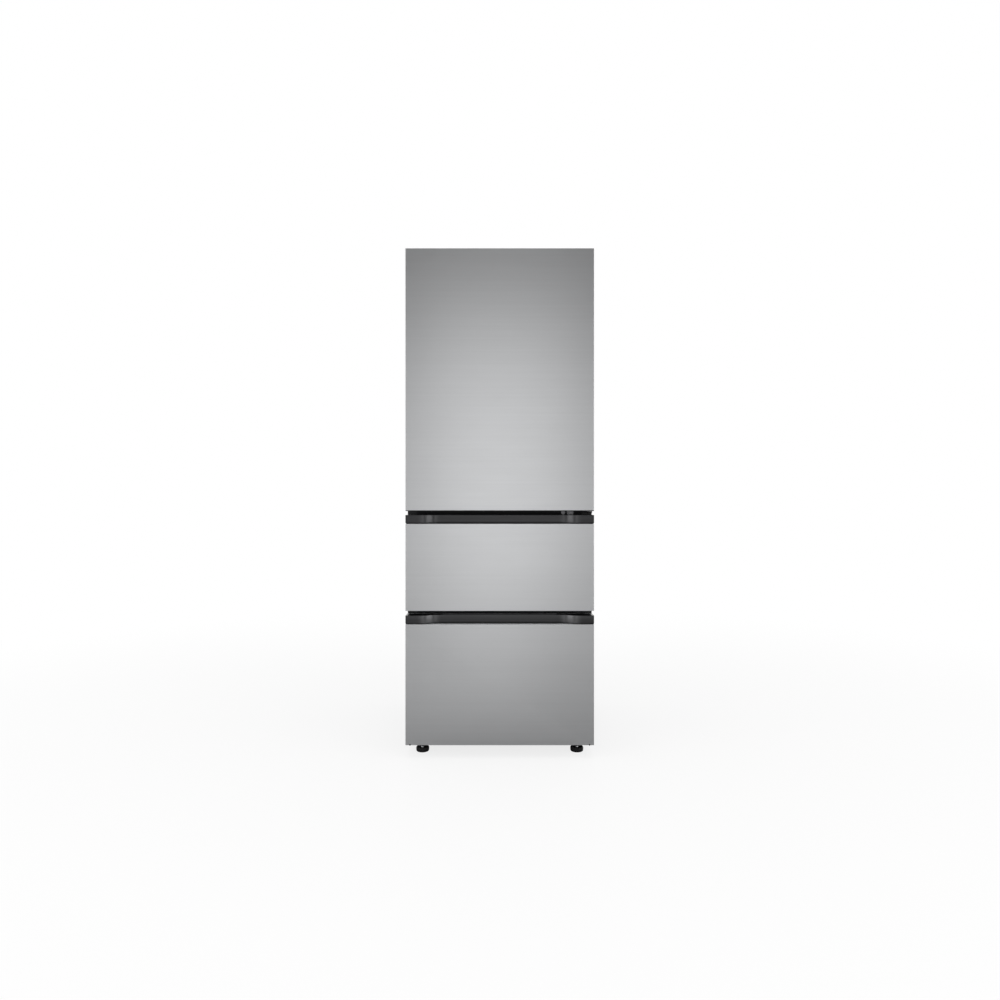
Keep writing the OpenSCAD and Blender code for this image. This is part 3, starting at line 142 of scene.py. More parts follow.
class Look:
    """A new material with its node tree and its main shader."""

    # The range in which nearly all of a noise lies
    NOISE_LOW, NOISE_HIGH = 0.3, 0.7
    LEAST_ROUGH = 0.02
    # An edge begins and is full where the rounded and the true normal agree this much
    EDGE_STARTS, EDGE_FULL = 0.98, 0.8
    EDGE_SAMPLES = 4

    def __init__(self, name, color, rough, metal=0.0, **sockets):
        self.material = bpy.data.materials.new(name)
        self.material.use_nodes = True
        self.tree = self.material.node_tree
        self.shader = self.tree.nodes["Principled BSDF"]
        self.color = color
        self.rough = rough
        self.set("Base Color", (*color, 1))
        self.set("Roughness", rough)
        self.set("Metallic", metal)
        for key, value in sockets.items():
            self.set(key.replace("_", " "), value)

    def set(self, socket, value):
        self.shader.inputs[socket].default_value = value

    def node(self, kind, **values):
        """A new node with values for its sockets and its settings."""
        made = self.tree.nodes.new(kind)
        for key, value in values.items():
            if key in made.inputs:
                made.inputs[key].default_value = value
            else:
                setattr(made, key, value)
        return made

    def link(self, out, into):
        self.tree.links.new(out, into)

    def noise(self, scale, stretch=(1, 1, 1), detail=3.0, rough=0.55):
        """Noise over the object's own coordinates, with a scale for each axis."""
        place = self.node("ShaderNodeTexCoord")
        mapping = self.node("ShaderNodeMapping")
        mapping.inputs["Scale"].default_value = stretch
        texture = self.node("ShaderNodeTexNoise", Scale=scale, Detail=detail, Roughness=rough)
        self.link(place.outputs["Object"], mapping.inputs["Vector"])
        self.link(mapping.outputs["Vector"], texture.inputs["Vector"])
        return texture.outputs["Fac"]

    def spread(self, fac, low, high):
        """Noise values around a half, taken to the range from low to high."""
        ranged = self.node("ShaderNodeMapRange")
        ranged.inputs["From Min"].default_value = self.NOISE_LOW
        ranged.inputs["From Max"].default_value = self.NOISE_HIGH
        ranged.inputs["To Min"].default_value = low
        ranged.inputs["To Max"].default_value = high
        self.link(fac, ranged.inputs["Value"])
        return ranged.outputs["Result"]

    def vary_rough(self, fac, amount):
        """Lets the roughness wander up and down by an amount."""
        low, high = max(self.rough - amount, self.LEAST_ROUGH), min(self.rough + amount, 1)
        self.link(self.spread(fac, low, high), self.shader.inputs["Roughness"])

    def paint(self, fac, a, b):
        """Makes the colour a blend of two, and keeps it as the shade that later steps change."""
        self.shade = mix(self.tree, "RGBA", fac, a, b)
        self.link(self.shade, self.shader.inputs["Base Color"])

    def vary_color(self, fac, amount):
        """Lets the colour wander darker and lighter by a share."""
        dark = tuple(c * (1 - amount) for c in self.color)
        light = tuple(min(c * (1 + amount), 1) for c in self.color)
        self.paint(self.spread(fac, low=0, high=1), dark, light)

    def tint(self, fac, color):
        """Blends in another colour by a factor."""
        self.paint(fac, self.shade, color)

    def under(self, axis, limit, color):
        """Another colour where the coordinate on an axis is under a limit."""
        self.tint(calculate(self.tree, "LESS_THAN", coordinate(self.tree, "Object", axis), limit), color)

    def band(self, axis, centre, half, color):
        """Another colour in two soft bands, at a distance to either side of the middle."""
        side = calculate(self.tree, "ABSOLUTE", coordinate(self.tree, "Object", axis))
        away = calculate(self.tree, "ABSOLUTE", calculate(self.tree, "SUBTRACT", side, centre))
        self.tint(fade(self.tree, away, start=half, end=0.0, low=0.0, high=1.0), color)

    def bump(self, fac, height, strength):
        """Raises the surface by a height in metres."""
        bump = self.node("ShaderNodeBump", Strength=strength, Distance=height)
        self.link(fac, bump.inputs["Height"])
        self.link(bump.outputs["Normal"], self.shader.inputs["Normal"])

    def worn_and_lit_edges(self, color, radius, amount):
        """Blends in another colour where a rounded normal leaves the true one, which is at edges: rubbed
        wear, and in some finishes a painted edge highlight.
        """
        soft = self.node("ShaderNodeBevel", samples=self.EDGE_SAMPLES, Radius=radius)
        hard = self.node("ShaderNodeNewGeometry")
        dot = self.node("ShaderNodeVectorMath", operation="DOT_PRODUCT")
        self.link(soft.outputs["Normal"], dot.inputs[0])
        self.link(hard.outputs["Normal"], dot.inputs[1])
        edge = self.node("ShaderNodeMapRange")
        edge.inputs["From Min"].default_value = self.EDGE_STARTS
        edge.inputs["From Max"].default_value = self.EDGE_FULL
        edge.inputs["To Max"].default_value = amount
        self.link(dot.outputs["Value"], edge.inputs["Value"])
        self.tint(edge.outputs["Result"], color)


def brushed_metal(name, color, rough, along="X", streak=0.03, **sockets):
    """Metal with hairlines along one axis: fine scratches, wider faint bands and slightly uneven gloss."""
    hair_mm, fine_mm, streak_mm, band_mm = 90.0, 0.35, 720.0, 7.0
    edge_light = 1.15
    look = Look(name, color, rough, metal=1.0, **sockets)
    across = {"X": (0, 1, 1), "Z": (1, 1, 0)}[along]
    fine = tuple(1 if c else fine_mm / hair_mm for c in across)
    band = tuple(1 if c else band_mm / streak_mm for c in across)
    hair = look.noise(1 / (fine_mm * MM), stretch=fine, detail=2)
    bands = look.noise(1 / (band_mm * MM), stretch=band, detail=2)
    look.vary_color(bands, amount=streak)
    look.vary_rough(hair, amount=0.06)
    look.bump(hair, height=0.004 * MM, strength=0.6)
    # Lighter folds: partly polish, partly a painted edge highlight.
    look.worn_and_lit_edges(tuple(min(c * edge_light, 1) for c in color), radius=0.6 * MM, amount=0.5)
    return look.material


def trim_metal(name, color, arc_highlight):
    """Dark anodised trim with hairlines, with a painted highlight: lighter bands over its two arcs, where
    side light glints.
    """
    edge_light = 1.3
    look = Look(name, color, rough=0.34, metal=1.0)
    hair = look.noise(2800, stretch=(0.004, 1, 1), detail=2)
    bands = look.noise(140, stretch=(0.01, 1, 1), detail=2)
    look.vary_color(bands, amount=0.08)
    # Painted highlight: the colour over the two arcs is lightened where side lamps would glint on them.
    look.band("X", centre=251 * MM, half=44 * MM, color=arc_highlight)
    look.vary_rough(hair, amount=0.06)
    look.bump(hair, height=0.004 * MM, strength=0.6)
    look.worn_and_lit_edges(tuple(c * edge_light for c in color), radius=0.6 * MM, amount=0.5)
    return look.material


def painted_metal(name, color, rough, peel_mm=1.6, metal=0.0, wear=(0.35, 0.35, 0.36), **sockets):
    """Coated steel with a fine orange peel, faint cloudiness and rubbed edges."""
    look = Look(name, color, rough, metal=metal, **sockets)
    peel = look.noise(1 / (peel_mm * MM), detail=2)
    cloud = look.noise(9, detail=4)
    look.vary_color(cloud, amount=0.04)
    look.vary_rough(peel, amount=0.05)
    look.bump(peel, height=0.02 * MM, strength=0.35)
    look.worn_and_lit_edges(wear, radius=0.5 * MM, amount=0.25)
    return look.material


def moulded_plastic(name, color, rough, grain_mm=0.5, grain=0.03, edge=1.18, flow_share=0.03, **sockets):
    """Injection-moulded plastic with a spark-eroded grain, grain deep in mm, and slightly lighter edges."""
    look = Look(name, color, rough, **sockets)
    texture = look.noise(1 / (grain_mm * MM), detail=3)
    flow = look.noise(14, detail=3)
    look.vary_color(flow, amount=flow_share)
    look.vary_rough(texture, amount=0.06)
    look.bump(texture, height=grain * MM, strength=0.5)
    look.worn_and_lit_edges(tuple(min(c * edge, 1) for c in color), radius=0.6 * MM, amount=0.4)
    return look.material


def rubber(name, color):
    """Dull rubber with a fine texture and a little dust."""
    look = Look(name, color, rough=0.8, Specular_IOR_Level=0.2)
    texture = look.noise(900, detail=4)
    dust = look.noise(40, detail=5)
    look.vary_color(dust, amount=0.2)
    look.vary_rough(dust, amount=0.1)
    look.bump(texture, height=0.03 * MM, strength=0.5)
    return look.material


def foam(name, color):
    """Rigid foam with fine open cells on its cut faces."""
    look = Look(name, color, rough=0.85)
    cells = look.noise(700, detail=5, rough=0.7)
    look.vary_color(cells, amount=0.12)
    look.bump(cells, height=0.3 * MM, strength=0.8)
    return look.material


def clear_glass(name, tint):
    """Tinted glass with faint smears."""
    look = Look(name, tint, rough=0.03, Transmission_Weight=1.0, IOR=1.5)
    smear = look.noise(25, detail=4)
    look.link(look.spread(smear, low=0.015, high=0.07), look.shader.inputs["Roughness"])
    return look.material


def galvanised(name, color):
    """Zinc-coated sheet: a faint spangle of crystals, rolled streaks and a dull gloss."""
    haze_color, worn_color = (0.36, 0.37, 0.38), (0.7, 0.71, 0.72)
    look = Look(name, color, rough=0.46, metal=1.0)
    place = look.node("ShaderNodeTexCoord")
    spangle = look.node("ShaderNodeTexVoronoi", Scale=110)
    look.link(place.outputs["Object"], spangle.inputs["Vector"])
    crystal = look.node("ShaderNodeSeparateColor")
    look.link(spangle.outputs["Color"], crystal.inputs[0])
    haze = look.noise(3.5, detail=5)
    look.vary_color(crystal.outputs["Red"], amount=0.05)
    look.tint(look.spread(haze, low=0, high=0.35), haze_color)
    look.vary_rough(crystal.outputs["Green"], amount=0.035)
    look.bump(look.noise(260, detail=4), height=0.03 * MM, strength=0.35)
    look.worn_and_lit_edges(worn_color, radius=0.5 * MM, amount=0.35)
    return look.material


# What lies in front of this on the cabinet faces the doors
RIM_Y = CASE_Y + 1.5 * MM


def case_paint(name, color, rim_shade_color):
    """Embossed coated sheet; its narrow front rim, which faces the doors, is painted near black as the shade
    in the slots between the fronts.
    """
    worn_color = (0.3, 0.3, 0.31)
    look = Look(name, color, rough=0.42, Specular_IOR_Level=0.3)
    emboss = look.noise(420, detail=3, rough=0.6)
    cloud = look.noise(9, detail=4)
    look.vary_color(cloud, amount=0.05)
    look.vary_rough(emboss, amount=0.08)
    look.bump(emboss, height=0.06 * MM, strength=0.5)
    look.worn_and_lit_edges(worn_color, radius=0.5 * MM, amount=0.25)
    # Painted shade: the sheet in front of RIM_Y is darkened to near black.
    look.under("Y", RIM_Y, rim_shade_color)
    return look.material


def fastener_metal(name, color, front_shade_color):
    """Zinc plate with a turned head; the bolts behind the door, in the slots, are darkened as painted shade.
    """
    worn_color = (0.75, 0.76, 0.77)
    look = Look(name, color, rough=0.34, metal=1.0)
    mottle = look.noise(500, detail=4)
    look.vary_color(mottle, amount=0.12)
    look.vary_rough(mottle, amount=0.1)
    look.bump(mottle, height=0.02 * MM, strength=0.4)
    look.worn_and_lit_edges(worn_color, radius=0.3 * MM, amount=0.4)
    # Painted shade: fasteners in front of RIM_Y, in the slots, are darkened.
    look.under("Y", RIM_Y, front_shade_color)
    return look.material


def led(name, color, glow):
    """Small diffusing lens that is lit faintly from behind."""
    look = Look(name, color, rough=0.3)
    frost = look.noise(1200, detail=2)
    look.vary_color(frost, amount=0.08)
    look.vary_rough(frost, amount=0.1)
    look.link(look.shade, look.shader.inputs["Emission Color"])
    look.set("Emission Strength", glow)
    return look.material


def copper_tube(name, dull, bright):
    """Copper that has tarnished in patches."""
    look = Look(name, bright, rough=0.32, metal=1.0)
    tarnish = look.noise(60, detail=6, rough=0.65)
    look.paint(look.spread(tarnish, low=0, high=1), dull, bright)
    look.vary_rough(tarnish, amount=0.12)
    look.bump(tarnish, height=0.02 * MM, strength=0.4)
    return look.material


SILVER = (0.5, 0.505, 0.513)

LOOKS = {
    "front_metal": brushed_metal("front_metal", SILVER, 0.39, streak=0.014),
    "trim_grey": trim_metal("trim_grey", (0.037, 0.037, 0.0382), (0.075, 0.075, 0.077)),
    # The case's second colour is the painted shade of its front rim.
    "case_grey": case_paint("case_grey", (0.075, 0.077, 0.082), (0.007, 0.007, 0.008)),
    "back_sheet": galvanised("back_sheet", (0.5, 0.515, 0.53)),
    "base_sheet": painted_metal("base_sheet", (0.3, 0.31, 0.32), 0.5, metal=0.6),
    "foam": foam("foam", (0.82, 0.74, 0.5)),
    "liner_plastic": moulded_plastic("liner_plastic", (0.7, 0.715, 0.73), 0.3, grain_mm=1.2, grain=0.01,
                                     flow_share=0.012),
    "black_strip": painted_metal("black_strip", (0.008, 0.008, 0.009), 0.55, wear=(0.03, 0.03, 0.03),
                                 Specular_IOR_Level=0.15),
    "plated_steel": brushed_metal("plated_steel", (0.56, 0.57, 0.58), 0.33, streak=0.05),
    "dark_plastic": moulded_plastic("dark_plastic", (0.022, 0.022, 0.024), 0.55, Specular_IOR_Level=0.3),
    "duct_plastic": moulded_plastic("duct_plastic", (0.62, 0.64, 0.655), 0.4),
    "basket_plastic": moulded_plastic("basket_plastic", (0.3, 0.32, 0.335), 0.32, grain=0.015),
    "fin_aluminium": brushed_metal("fin_aluminium", (0.75, 0.76, 0.77), 0.4, along="Z"),
    "glass": clear_glass("glass", (0.86, 0.95, 0.93)),
    "control_black": moulded_plastic("control_black", (0.014, 0.014, 0.016), 0.16, grain=0.002),
    "lamp_lens": moulded_plastic("lamp_lens", (0.86, 0.87, 0.88), 0.35, grain_mm=2.5, grain=0.05),
    "black_enamel": painted_metal("black_enamel", (0.012, 0.012, 0.013), 0.3),
    "rubber": rubber("rubber", (0.02, 0.02, 0.021)),
    "seal_rubber": rubber("seal_rubber", (0.022, 0.0225, 0.023)),
    "copper": copper_tube("copper", (0.42, 0.2, 0.12), (0.78, 0.42, 0.25)),
    # Its much lighter edges are a painted highlight, standing in for light through the translucent rims.
    "box_plastic": moulded_plastic("box_plastic", (0.25, 0.217, 0.19), 0.24, grain=0.01, edge=1.4),
    "lid_plastic": moulded_plastic("lid_plastic", (0.075, 0.085, 0.095), 0.38),
    "bush_plastic": moulded_plastic("bush_plastic", (0.22, 0.22, 0.215), 0.45),
    "foot_plastic": moulded_plastic("foot_plastic", (0.012, 0.012, 0.013), 0.5, Specular_IOR_Level=0.2),
}
PRINT_WHITE = moulded_plastic("print_white", (0.62, 0.63, 0.64), 0.5, grain_mm=0.2)
LED_BLUE = led("led_blue", (0.45, 0.7, 0.85), 0.5)
# A lighter copy of the trim finish for the lower handle: painted light, with a brighter painted highlight on
# its arcs.
PAINTED_LIGHT_TRIM = trim_metal("painted_light_trim", (0.045, 0.045, 0.0465), (0.125, 0.125, 0.128))
FASTENERS = fastener_metal("fasteners", (0.56, 0.57, 0.58), (0.13, 0.13, 0.135))


def dress(piece, slot):
    """Gives a piece the finish of one of the record's material slots."""
    piece.data.materials.clear()
    piece.data.materials.append(LOOKS[slot])


def dress_nodes():
    """Gives each node the finish of its slot; the fasteners have one of their own."""
    slots = {s["node"]: s["material_slot"] for s in frame["record"]["subparts"]}
    for name, piece in frame["nodes"].items():
        if not piece.material_slots:
            piece.data.materials.append(None)
        for material_slot in piece.material_slots:
            material_slot.link = "OBJECT"
            material_slot.material = LOOKS[slots[name]]
    for material_slot in frame["nodes"]["cabinet_fasteners"].material_slots:
        material_slot.material = FASTENERS


# Rounded edges of the carried-over nodes, in millimetres
EDGE_RADII = {
    "outer_case": 0.5, "back_panel": 0.4, "base_plate": 0.4, "hinge_cover": 1.0, "top_hinge": 0.5,
    "middle_hinge": 0.5, "cabinet_fasteners": 0.35, "machine_room_cover": 0.3,
    "air_duct_cover": 0.8, "shelf_frames": 1.0, "shelf_glass": 0.6, "control_panel": 1.5, "room_lamp": 0.8,
    "compressor": 0.8, "fan_motors": 0.8, "drain_pan": 0.8, "door_top_cap": 0.6, "door_bottom_cap": 0.6,
    "door_liner": 0.9, "middle_front_liner": 0.6, "lower_front_liner": 0.6, "middle_basket": 0.9,
    "lower_basket": 0.9, "upper_boxes": 0.7, "middle_boxes": 0.7, "lower_boxes": 0.7, "upper_lids": 1.0,
    "middle_lids": 1.0, "lower_lids": 1.0, "rails_outer": 0.3, "middle_rails_inner": 0.3,
    "lower_rails_inner": 0.3, "middle_rails_center": 0.3, "lower_rails_center": 0.3, "roller_left": 0.4,
    "roller_right": 0.4, "door_bushes": 0.4, "mullion_covers": 0.3,
}


def round_edges():
    """Modifiers that join a node's faces, drop its flat seams and round what is left."""
    seam, flat_angle, steps = 0.01 * MM, math.radians(0.5), 2
    for name, radius in EDGE_RADII.items():
        piece = frame["nodes"][name]
        weld = piece.modifiers.new("weld", "WELD")
        weld.merge_threshold = seam
        flat = piece.modifiers.new("flat", "DECIMATE")
        flat.decimate_type = "DISSOLVE"
        flat.angle_limit = flat_angle
        bevel = piece.modifiers.new("bevel", "BEVEL")
        bevel.width = radius * MM
        bevel.segments = steps
        bevel.limit_method = "ANGLE"
        bevel.angle_limit = SHARP_ANGLE
        bevel.harden_normals = False
        normals = piece.modifiers.new("normals", "WEIGHTED_NORMAL")
        normals.keep_sharp = True


# Mesh helpers

def shade_smooth(mesh):
    """Smooths a mesh's faces, except across its sharp edges."""
    for face in mesh.faces:
        face.smooth = True
    for edge in mesh.edges:
        edge.smooth = not (len(edge.link_faces) == 2 and edge.calc_face_angle() > SHARP_ANGLE)


def as_data(name, mesh):
    """Turns a bmesh, which is freed, into mesh data."""
    data = bpy.data.meshes.new(name)
    mesh.to_mesh(data)
    mesh.free()
    return data


def new_piece(name, mesh, slot, body):
    """Makes an object of a bmesh, finished as a material slot and riding on a body."""
    bmesh.ops.recalc_face_normals(mesh, faces=mesh.faces)
    shade_smooth(mesh)
    piece = bpy.data.objects.new(name, as_data(name, mesh))
    bpy.context.collection.objects.link(piece)
    dress(piece, slot)
    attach(piece, body)
    return piece


def loft(mesh, rings, closed_ends=True):
    """Joins rings of equally many points with quads, and caps the first and the last."""
    loops = [[mesh.verts.new(p) for p in ring] for ring in rings]
    count = len(loops[0])
    for a, b in zip(loops, loops[1:]):
        for i in range(count):
            j = (i + 1) % count
            mesh.faces.new((a[i], a[j], b[j], b[i]))
    if closed_ends:
        mesh.faces.new(loops[0])
        mesh.faces.new(loops[-1])


def at_level(plan, z, place=Matrix()):
    """The points of a plan at one height of a placing matrix."""
    return [place @ Vector((x, y, z)) for x, y in plan]


def circle(radius, steps):
    """Plan of a circle."""
    angles = (2 * math.pi * i / steps for i in range(steps))
    return [(radius * math.cos(a), radius * math.sin(a)) for a in angles]


def lathe(mesh, profile, place, steps=48):
    """Turns (radius, height) points about the Z axis of a placing matrix."""
    loft(mesh, [at_level(circle(radius, steps), z, place) for radius, z in profile])


def turned_ring(mesh, profile, place, steps=48):
    """Turns a closed section of (radius, height) points, which ends where it starts, about the Z axis."""
    loft(mesh, [at_level(circle(radius, steps), z, place) for radius, z in profile], closed_ends=False)
    bmesh.ops.remove_doubles(mesh, verts=mesh.verts, dist=SAME_POINT)


def facing(way, x, y, z):
    """Matrix at a place, with a Z axis that points forwards or backwards."""
    return Matrix.Translation((x, y, z)) @ Matrix.Rotation(math.radians(-90 * way), 4, "X")


def quarter(radius, steps=5):
    """Insets and heights of a rounded edge, from the flat face to the wall."""
    angles = [math.pi / 2 * i / steps for i in range(steps + 1)]
    return [(radius * (1 - math.sin(a)), radius * (1 - math.cos(a))) for a in angles]


# Door and drawer fronts

def skin_outline(inset):
    """Plan of a folded front skin, along its outside from the left fold to the right and back inside."""
    fold_r = 2 * MM
    steps = 6
    x, y0, y1 = HALF_W - inset, FRONT_Y + inset, LINER_Y - inset
    outer_r, inner_r = fold_r - inset, fold_r - SHEET + inset
    inner = HALF_W - SHEET + inset
    inner_y = FRONT_Y + SHEET - inset
    points = [(-x, y1)]
    turn = [math.pi / 2 * i / steps for i in range(steps + 1)]
    points += [(-x + outer_r * (1 - math.cos(a)), y0 + outer_r * (1 - math.sin(a))) for a in turn]
    points += [(x - outer_r * (1 - math.sin(a)), y0 + outer_r * (1 - math.cos(a))) for a in turn]
    points += [(x, y1), (inner, y1)]
    points += [(inner - inner_r * (1 - math.cos(a)), inner_y + inner_r * (1 - math.sin(a))) for a in turn]
    points += [(-inner + inner_r * (1 - math.sin(a)), inner_y + inner_r * (1 - math.cos(a))) for a in turn]
    points.append((-inner, y1))
    return points


def front_skin(name, node, body, bottom_fold):
    """Folded metal skin with rounded folds and softly cut ends, in place of its plain node."""
    low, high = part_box(node)
    edge = 0.3 * MM
    mesh = bmesh.new()
    heights = [(low.z, edge), (low.z + edge, 0), (high.z - edge, 0), (high.z, edge)]
    loft(mesh, [at_level(skin_outline(inset), z) for z, inset in heights])
    if bottom_fold:
        gap = 0.02 * MM
        inner = HALF_W - SHEET - gap
        front = FRONT_Y + SHEET + gap
        corners = [(-inner, front), (inner, front), (inner, LINER_Y), (-inner, LINER_Y)]
        loft(mesh, [at_level(corners, z) for z in (low.z, low.z + SHEET)])
    piece = new_piece(name, mesh, "front_metal", body)
    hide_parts(node)
    return piece


# The trims' hollow: how deep it is, where its flat middle ends to each side, and the arcs' radius
HOLLOW_D = 19 * MM
HOLLOW_HALF = 222 * MM
HOLLOW_R = 46 * MM


def trim_outline(inset):
    """Plan of a handle trim: flush ends, and a hollow middle that two tangent arcs lead into."""
    steps = 22
    turn = math.acos(1 - HOLLOW_D / (2 * HOLLOW_R))
    run = 2 * HOLLOW_R * math.sin(turn)
    angles = [turn * i / steps for i in range(steps + 1)]
    floor_y = FRONT_Y + HOLLOW_D
    near, far = HOLLOW_R + inset, HOLLOW_R - inset
    half = [(HOLLOW_HALF + near * math.sin(a), floor_y - HOLLOW_R + near * math.cos(a)) for a in angles]
    half += [(HOLLOW_HALF + run - far * math.sin(a), FRONT_Y + HOLLOW_R - far * math.cos(a))
             for a in reversed(angles[:-1])]
    end = HALF_W - inset
    left = [(-x, y) for x, y in reversed(half)]
    return [(-end, LINER_Y), (-end, FRONT_Y + inset), *left, *half, (end, FRONT_Y + inset), (end, LINER_Y)]


def rounded_rect(x0, x1, y0, y1, radius, steps=8):
    """Plan of a rectangle with rounded corners."""
    points = []
    corners = ((x1, y1, 0), (x0, y1, 1), (x0, y0, 2), (x1, y0, 3))
    for x, y, quadrant in corners:
        cx = x - radius if x == x1 else x + radius
        cy = y - radius if y == y1 else y + radius
        for i in range(steps + 1):
            a = math.pi / 2 * (quadrant + i / steps)
            points.append((cx + radius * math.cos(a), cy + radius * math.sin(a)))
    return points


def handle_trim(name, node, body):
    """Hollowed trim with rounded front edges and its finger pocket, in place of its faceted node."""
    low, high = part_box(node)
    lower_r, upper_r = 5.5 * MM, 1.2 * MM
    half, lip, back_wall, depth, corner, flare = 210 * MM, 5 * MM, 5 * MM, 22 * MM, 8 * MM, 1.5 * MM
    rings = [(low.z + h, i) for i, h in quarter(lower_r)]
    rings += [(high.z - h, i) for i, h in reversed(quarter(upper_r))]
    mesh = bmesh.new()
    loft(mesh, [at_level(trim_outline(inset), z) for z, inset in rings])
    piece = new_piece(name, mesh, "trim_grey", body)
    y0, y1 = FRONT_Y + HOLLOW_D + lip, LINER_Y - back_wall
    levels = []
    for z, out in ((high.z - depth, 0), (high.z - flare, 0), (high.z + flare, flare)):
        plan = rounded_rect(-half - 2 * out, half + 2 * out, y0 - out, y1 + out, corner + out)
        levels.append(at_level(plan, z))
    pocket = bmesh.new()
    loft(pocket, levels)
    cut(piece, pocket)
    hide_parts(node)
    return piece


def cut(piece, cutter_mesh):
    """Takes the cutter's volume out of a piece, and leaves a plain mesh."""
    bmesh.ops.recalc_face_normals(cutter_mesh, faces=cutter_mesh.faces)
    cutter = bpy.data.objects.new("cutter", as_data("cutter", cutter_mesh))
    bpy.context.collection.objects.link(cutter)
    modifier = piece.modifiers.new("cut", "BOOLEAN")
    modifier.operation = "DIFFERENCE"
    modifier.solver = "EXACT"
    modifier.object = cutter
    bpy.context.view_layer.update()
    shape = piece.evaluated_get(bpy.context.evaluated_depsgraph_get())
    result = bpy.data.meshes.new_from_object(shape)
    piece.modifiers.clear()
    piece.data = result
    bpy.data.objects.remove(cutter)
    mesh = bmesh.new()
    mesh.from_mesh(result)
    shade_smooth(mesh)
    mesh.to_mesh(result)
    mesh.free()


# Gaskets

# Section across a gasket in millimetres, from its outside edge inwards and from the front backwards
GASKET_SECTION = (
    (0.8, 0), (0.3, 1.1), (2.1, 2.0), (3.4, 3.1), (1.7, 4.6), (1.2, 5.9), (2.2, 7.1), (2.5, 8.6), (3.3, 9.45),
    (4.5, 9.7), (12.9, 9.7), (13.9, 9.35), (14.6, 8.4), (14.4, 7.1), (12.8, 6.5), (9.2, 6.25), (8.9, 5.5),
    (12.9, 5.2), (15.1, 4.2), (15.3, 3.3), (14.0, 2.4), (16.6, 1.2), (16.2, 0),
)


def bellows_gasket(name, node, body):
    """Magnetic gasket with mitred corners: a foot, a folded bellows and the magnet's rounded pocket."""
    low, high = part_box(node)
    depth = max(v for _, v in GASKET_SECTION)
    section = [(u * MM, v * (high.y - low.y) / depth) for u, v in GASKET_SECTION]
    rings = []
    for side, level in ((-1, -1), (1, -1), (1, 1), (-1, 1)):
        x = high.x if side > 0 else low.x
        z = high.z if level > 0 else low.z
        rings.append([(x - side * u, low.y + v, z - level * u) for u, v in section])
    mesh = bmesh.new()
    loft(mesh, [*rings, rings[0]], closed_ends=False)
    bmesh.ops.remove_doubles(mesh, verts=mesh.verts, dist=SAME_POINT)
    piece = new_piece(name, mesh, "seal_rubber", body)
    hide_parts(node)


# Control panel

def slope_place(node, flat_edge, length):
    """Matrix of the panel's sloped face: X to the left, Y down the slope, Z out of the face."""
    low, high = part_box(node)
    start = Vector((0, low.y, high.z - flat_edge))
    along = Vector((0, length, low.z - start.z))
    down = along.normalized()
    left = Vector((-1, 0, 0))
    out = left.cross(down)
    matrix = Matrix((left, down, out)).transposed().to_4x4()
    matrix.translation = start + along / 2
    return matrix


def flat_ring(mesh, place, x, outer, inner, height, steps=32):
    """Thin ring, or a disc where the inner radius is nought."""
    at = place @ Matrix.Translation((x, 0, 0))
    if inner > 0:
        turned_ring(mesh, [(outer, 0), (outer, height), (inner, height), (inner, 0), (outer, 0)], at, steps)
    else:
        lathe(mesh, [(outer, 0), (outer, height)], at, steps)


def control_details():
    """Glossy touch strip on the panel's slope, with plain rings as keys and a row of lamps."""
    place = slope_place("control_panel", flat_edge=4 * MM, length=34 * MM)
    half_l, half_h, thick, radius = 132 * MM, 14 * MM, 0.8 * MM, 5 * MM
    gap, edge = 0.02 * MM, 0.3 * MM
    levels = []
    for z, inset in ((gap, 0), (thick - edge, 0), (thick, edge)):
        plan = rounded_rect(-half_l + inset, half_l - inset, -half_h + inset, half_h - inset, radius)
        levels.append(at_level(plan, z, place))
    mesh = bmesh.new()
    loft(mesh, levels)
    new_piece("touch_strip", mesh, "control_black", "cabinet")
    top = place @ Matrix.Translation((0, 0, thick))
    key_pitch, key_r, line, print_h = 34 * MM, 6.5 * MM, 0.7 * MM, 0.05 * MM
    lamp_pitch, lamp_r, lamp_h, lamp_steps = 7 * MM, 1.5 * MM, 0.1 * MM, 16
    key_places = [i * key_pitch for i in (-3, -2, -1, 1, 2, 3)]
    keys = bmesh.new()
    for x in key_places:
        flat_ring(keys, top, x, key_r, key_r - line, print_h)
    piece = new_piece("touch_rings", keys, "control_black", "cabinet")
    piece.data.materials[0] = PRINT_WHITE
    lamps = bmesh.new()
    for x in [-lamp_pitch, 0, lamp_pitch, *key_places]:
        flat_ring(lamps, top, x, lamp_r, 0, lamp_h, lamp_steps)
    piece = new_piece("touch_lamps", lamps, "control_black", "cabinet")
    piece.data.materials[0] = LED_BLUE


# Small pieces under the fronts, and the feet

def door_lip():
    """Black lip of the bottom cap, which shows under the skin and clears the lower hinge."""
    wide, height, edge, gap = 7 * MM, 2.6 * MM, 0.5 * MM, 0.05 * MM
    right_depth, left_depth = 14.5 * MM, 53 * MM
    x, y0 = HALF_W - SHEET / 2, FRONT_Y + SHEET / 2
    z0, z1 = DOOR_LO.z - height, DOOR_LO.z - gap
    outline = [(-x, y0), (x, y0), (x, y0 + right_depth), (x - wide, y0 + right_depth), (x - wide, y0 + wide),
               (wide - x, y0 + wide), (wide - x, y0 + left_depth), (-x, y0 + left_depth)]
    lowest = [(u - math.copysign(edge, u), v + (edge if v == y0 else 0)) for u, v in outline]
    mesh = bmesh.new()
    loft(mesh, [at_level(lowest, z0), at_level(outline, z0 + edge), at_level(outline, z1)])
    new_piece("door_lip", mesh, "dark_plastic", "door")


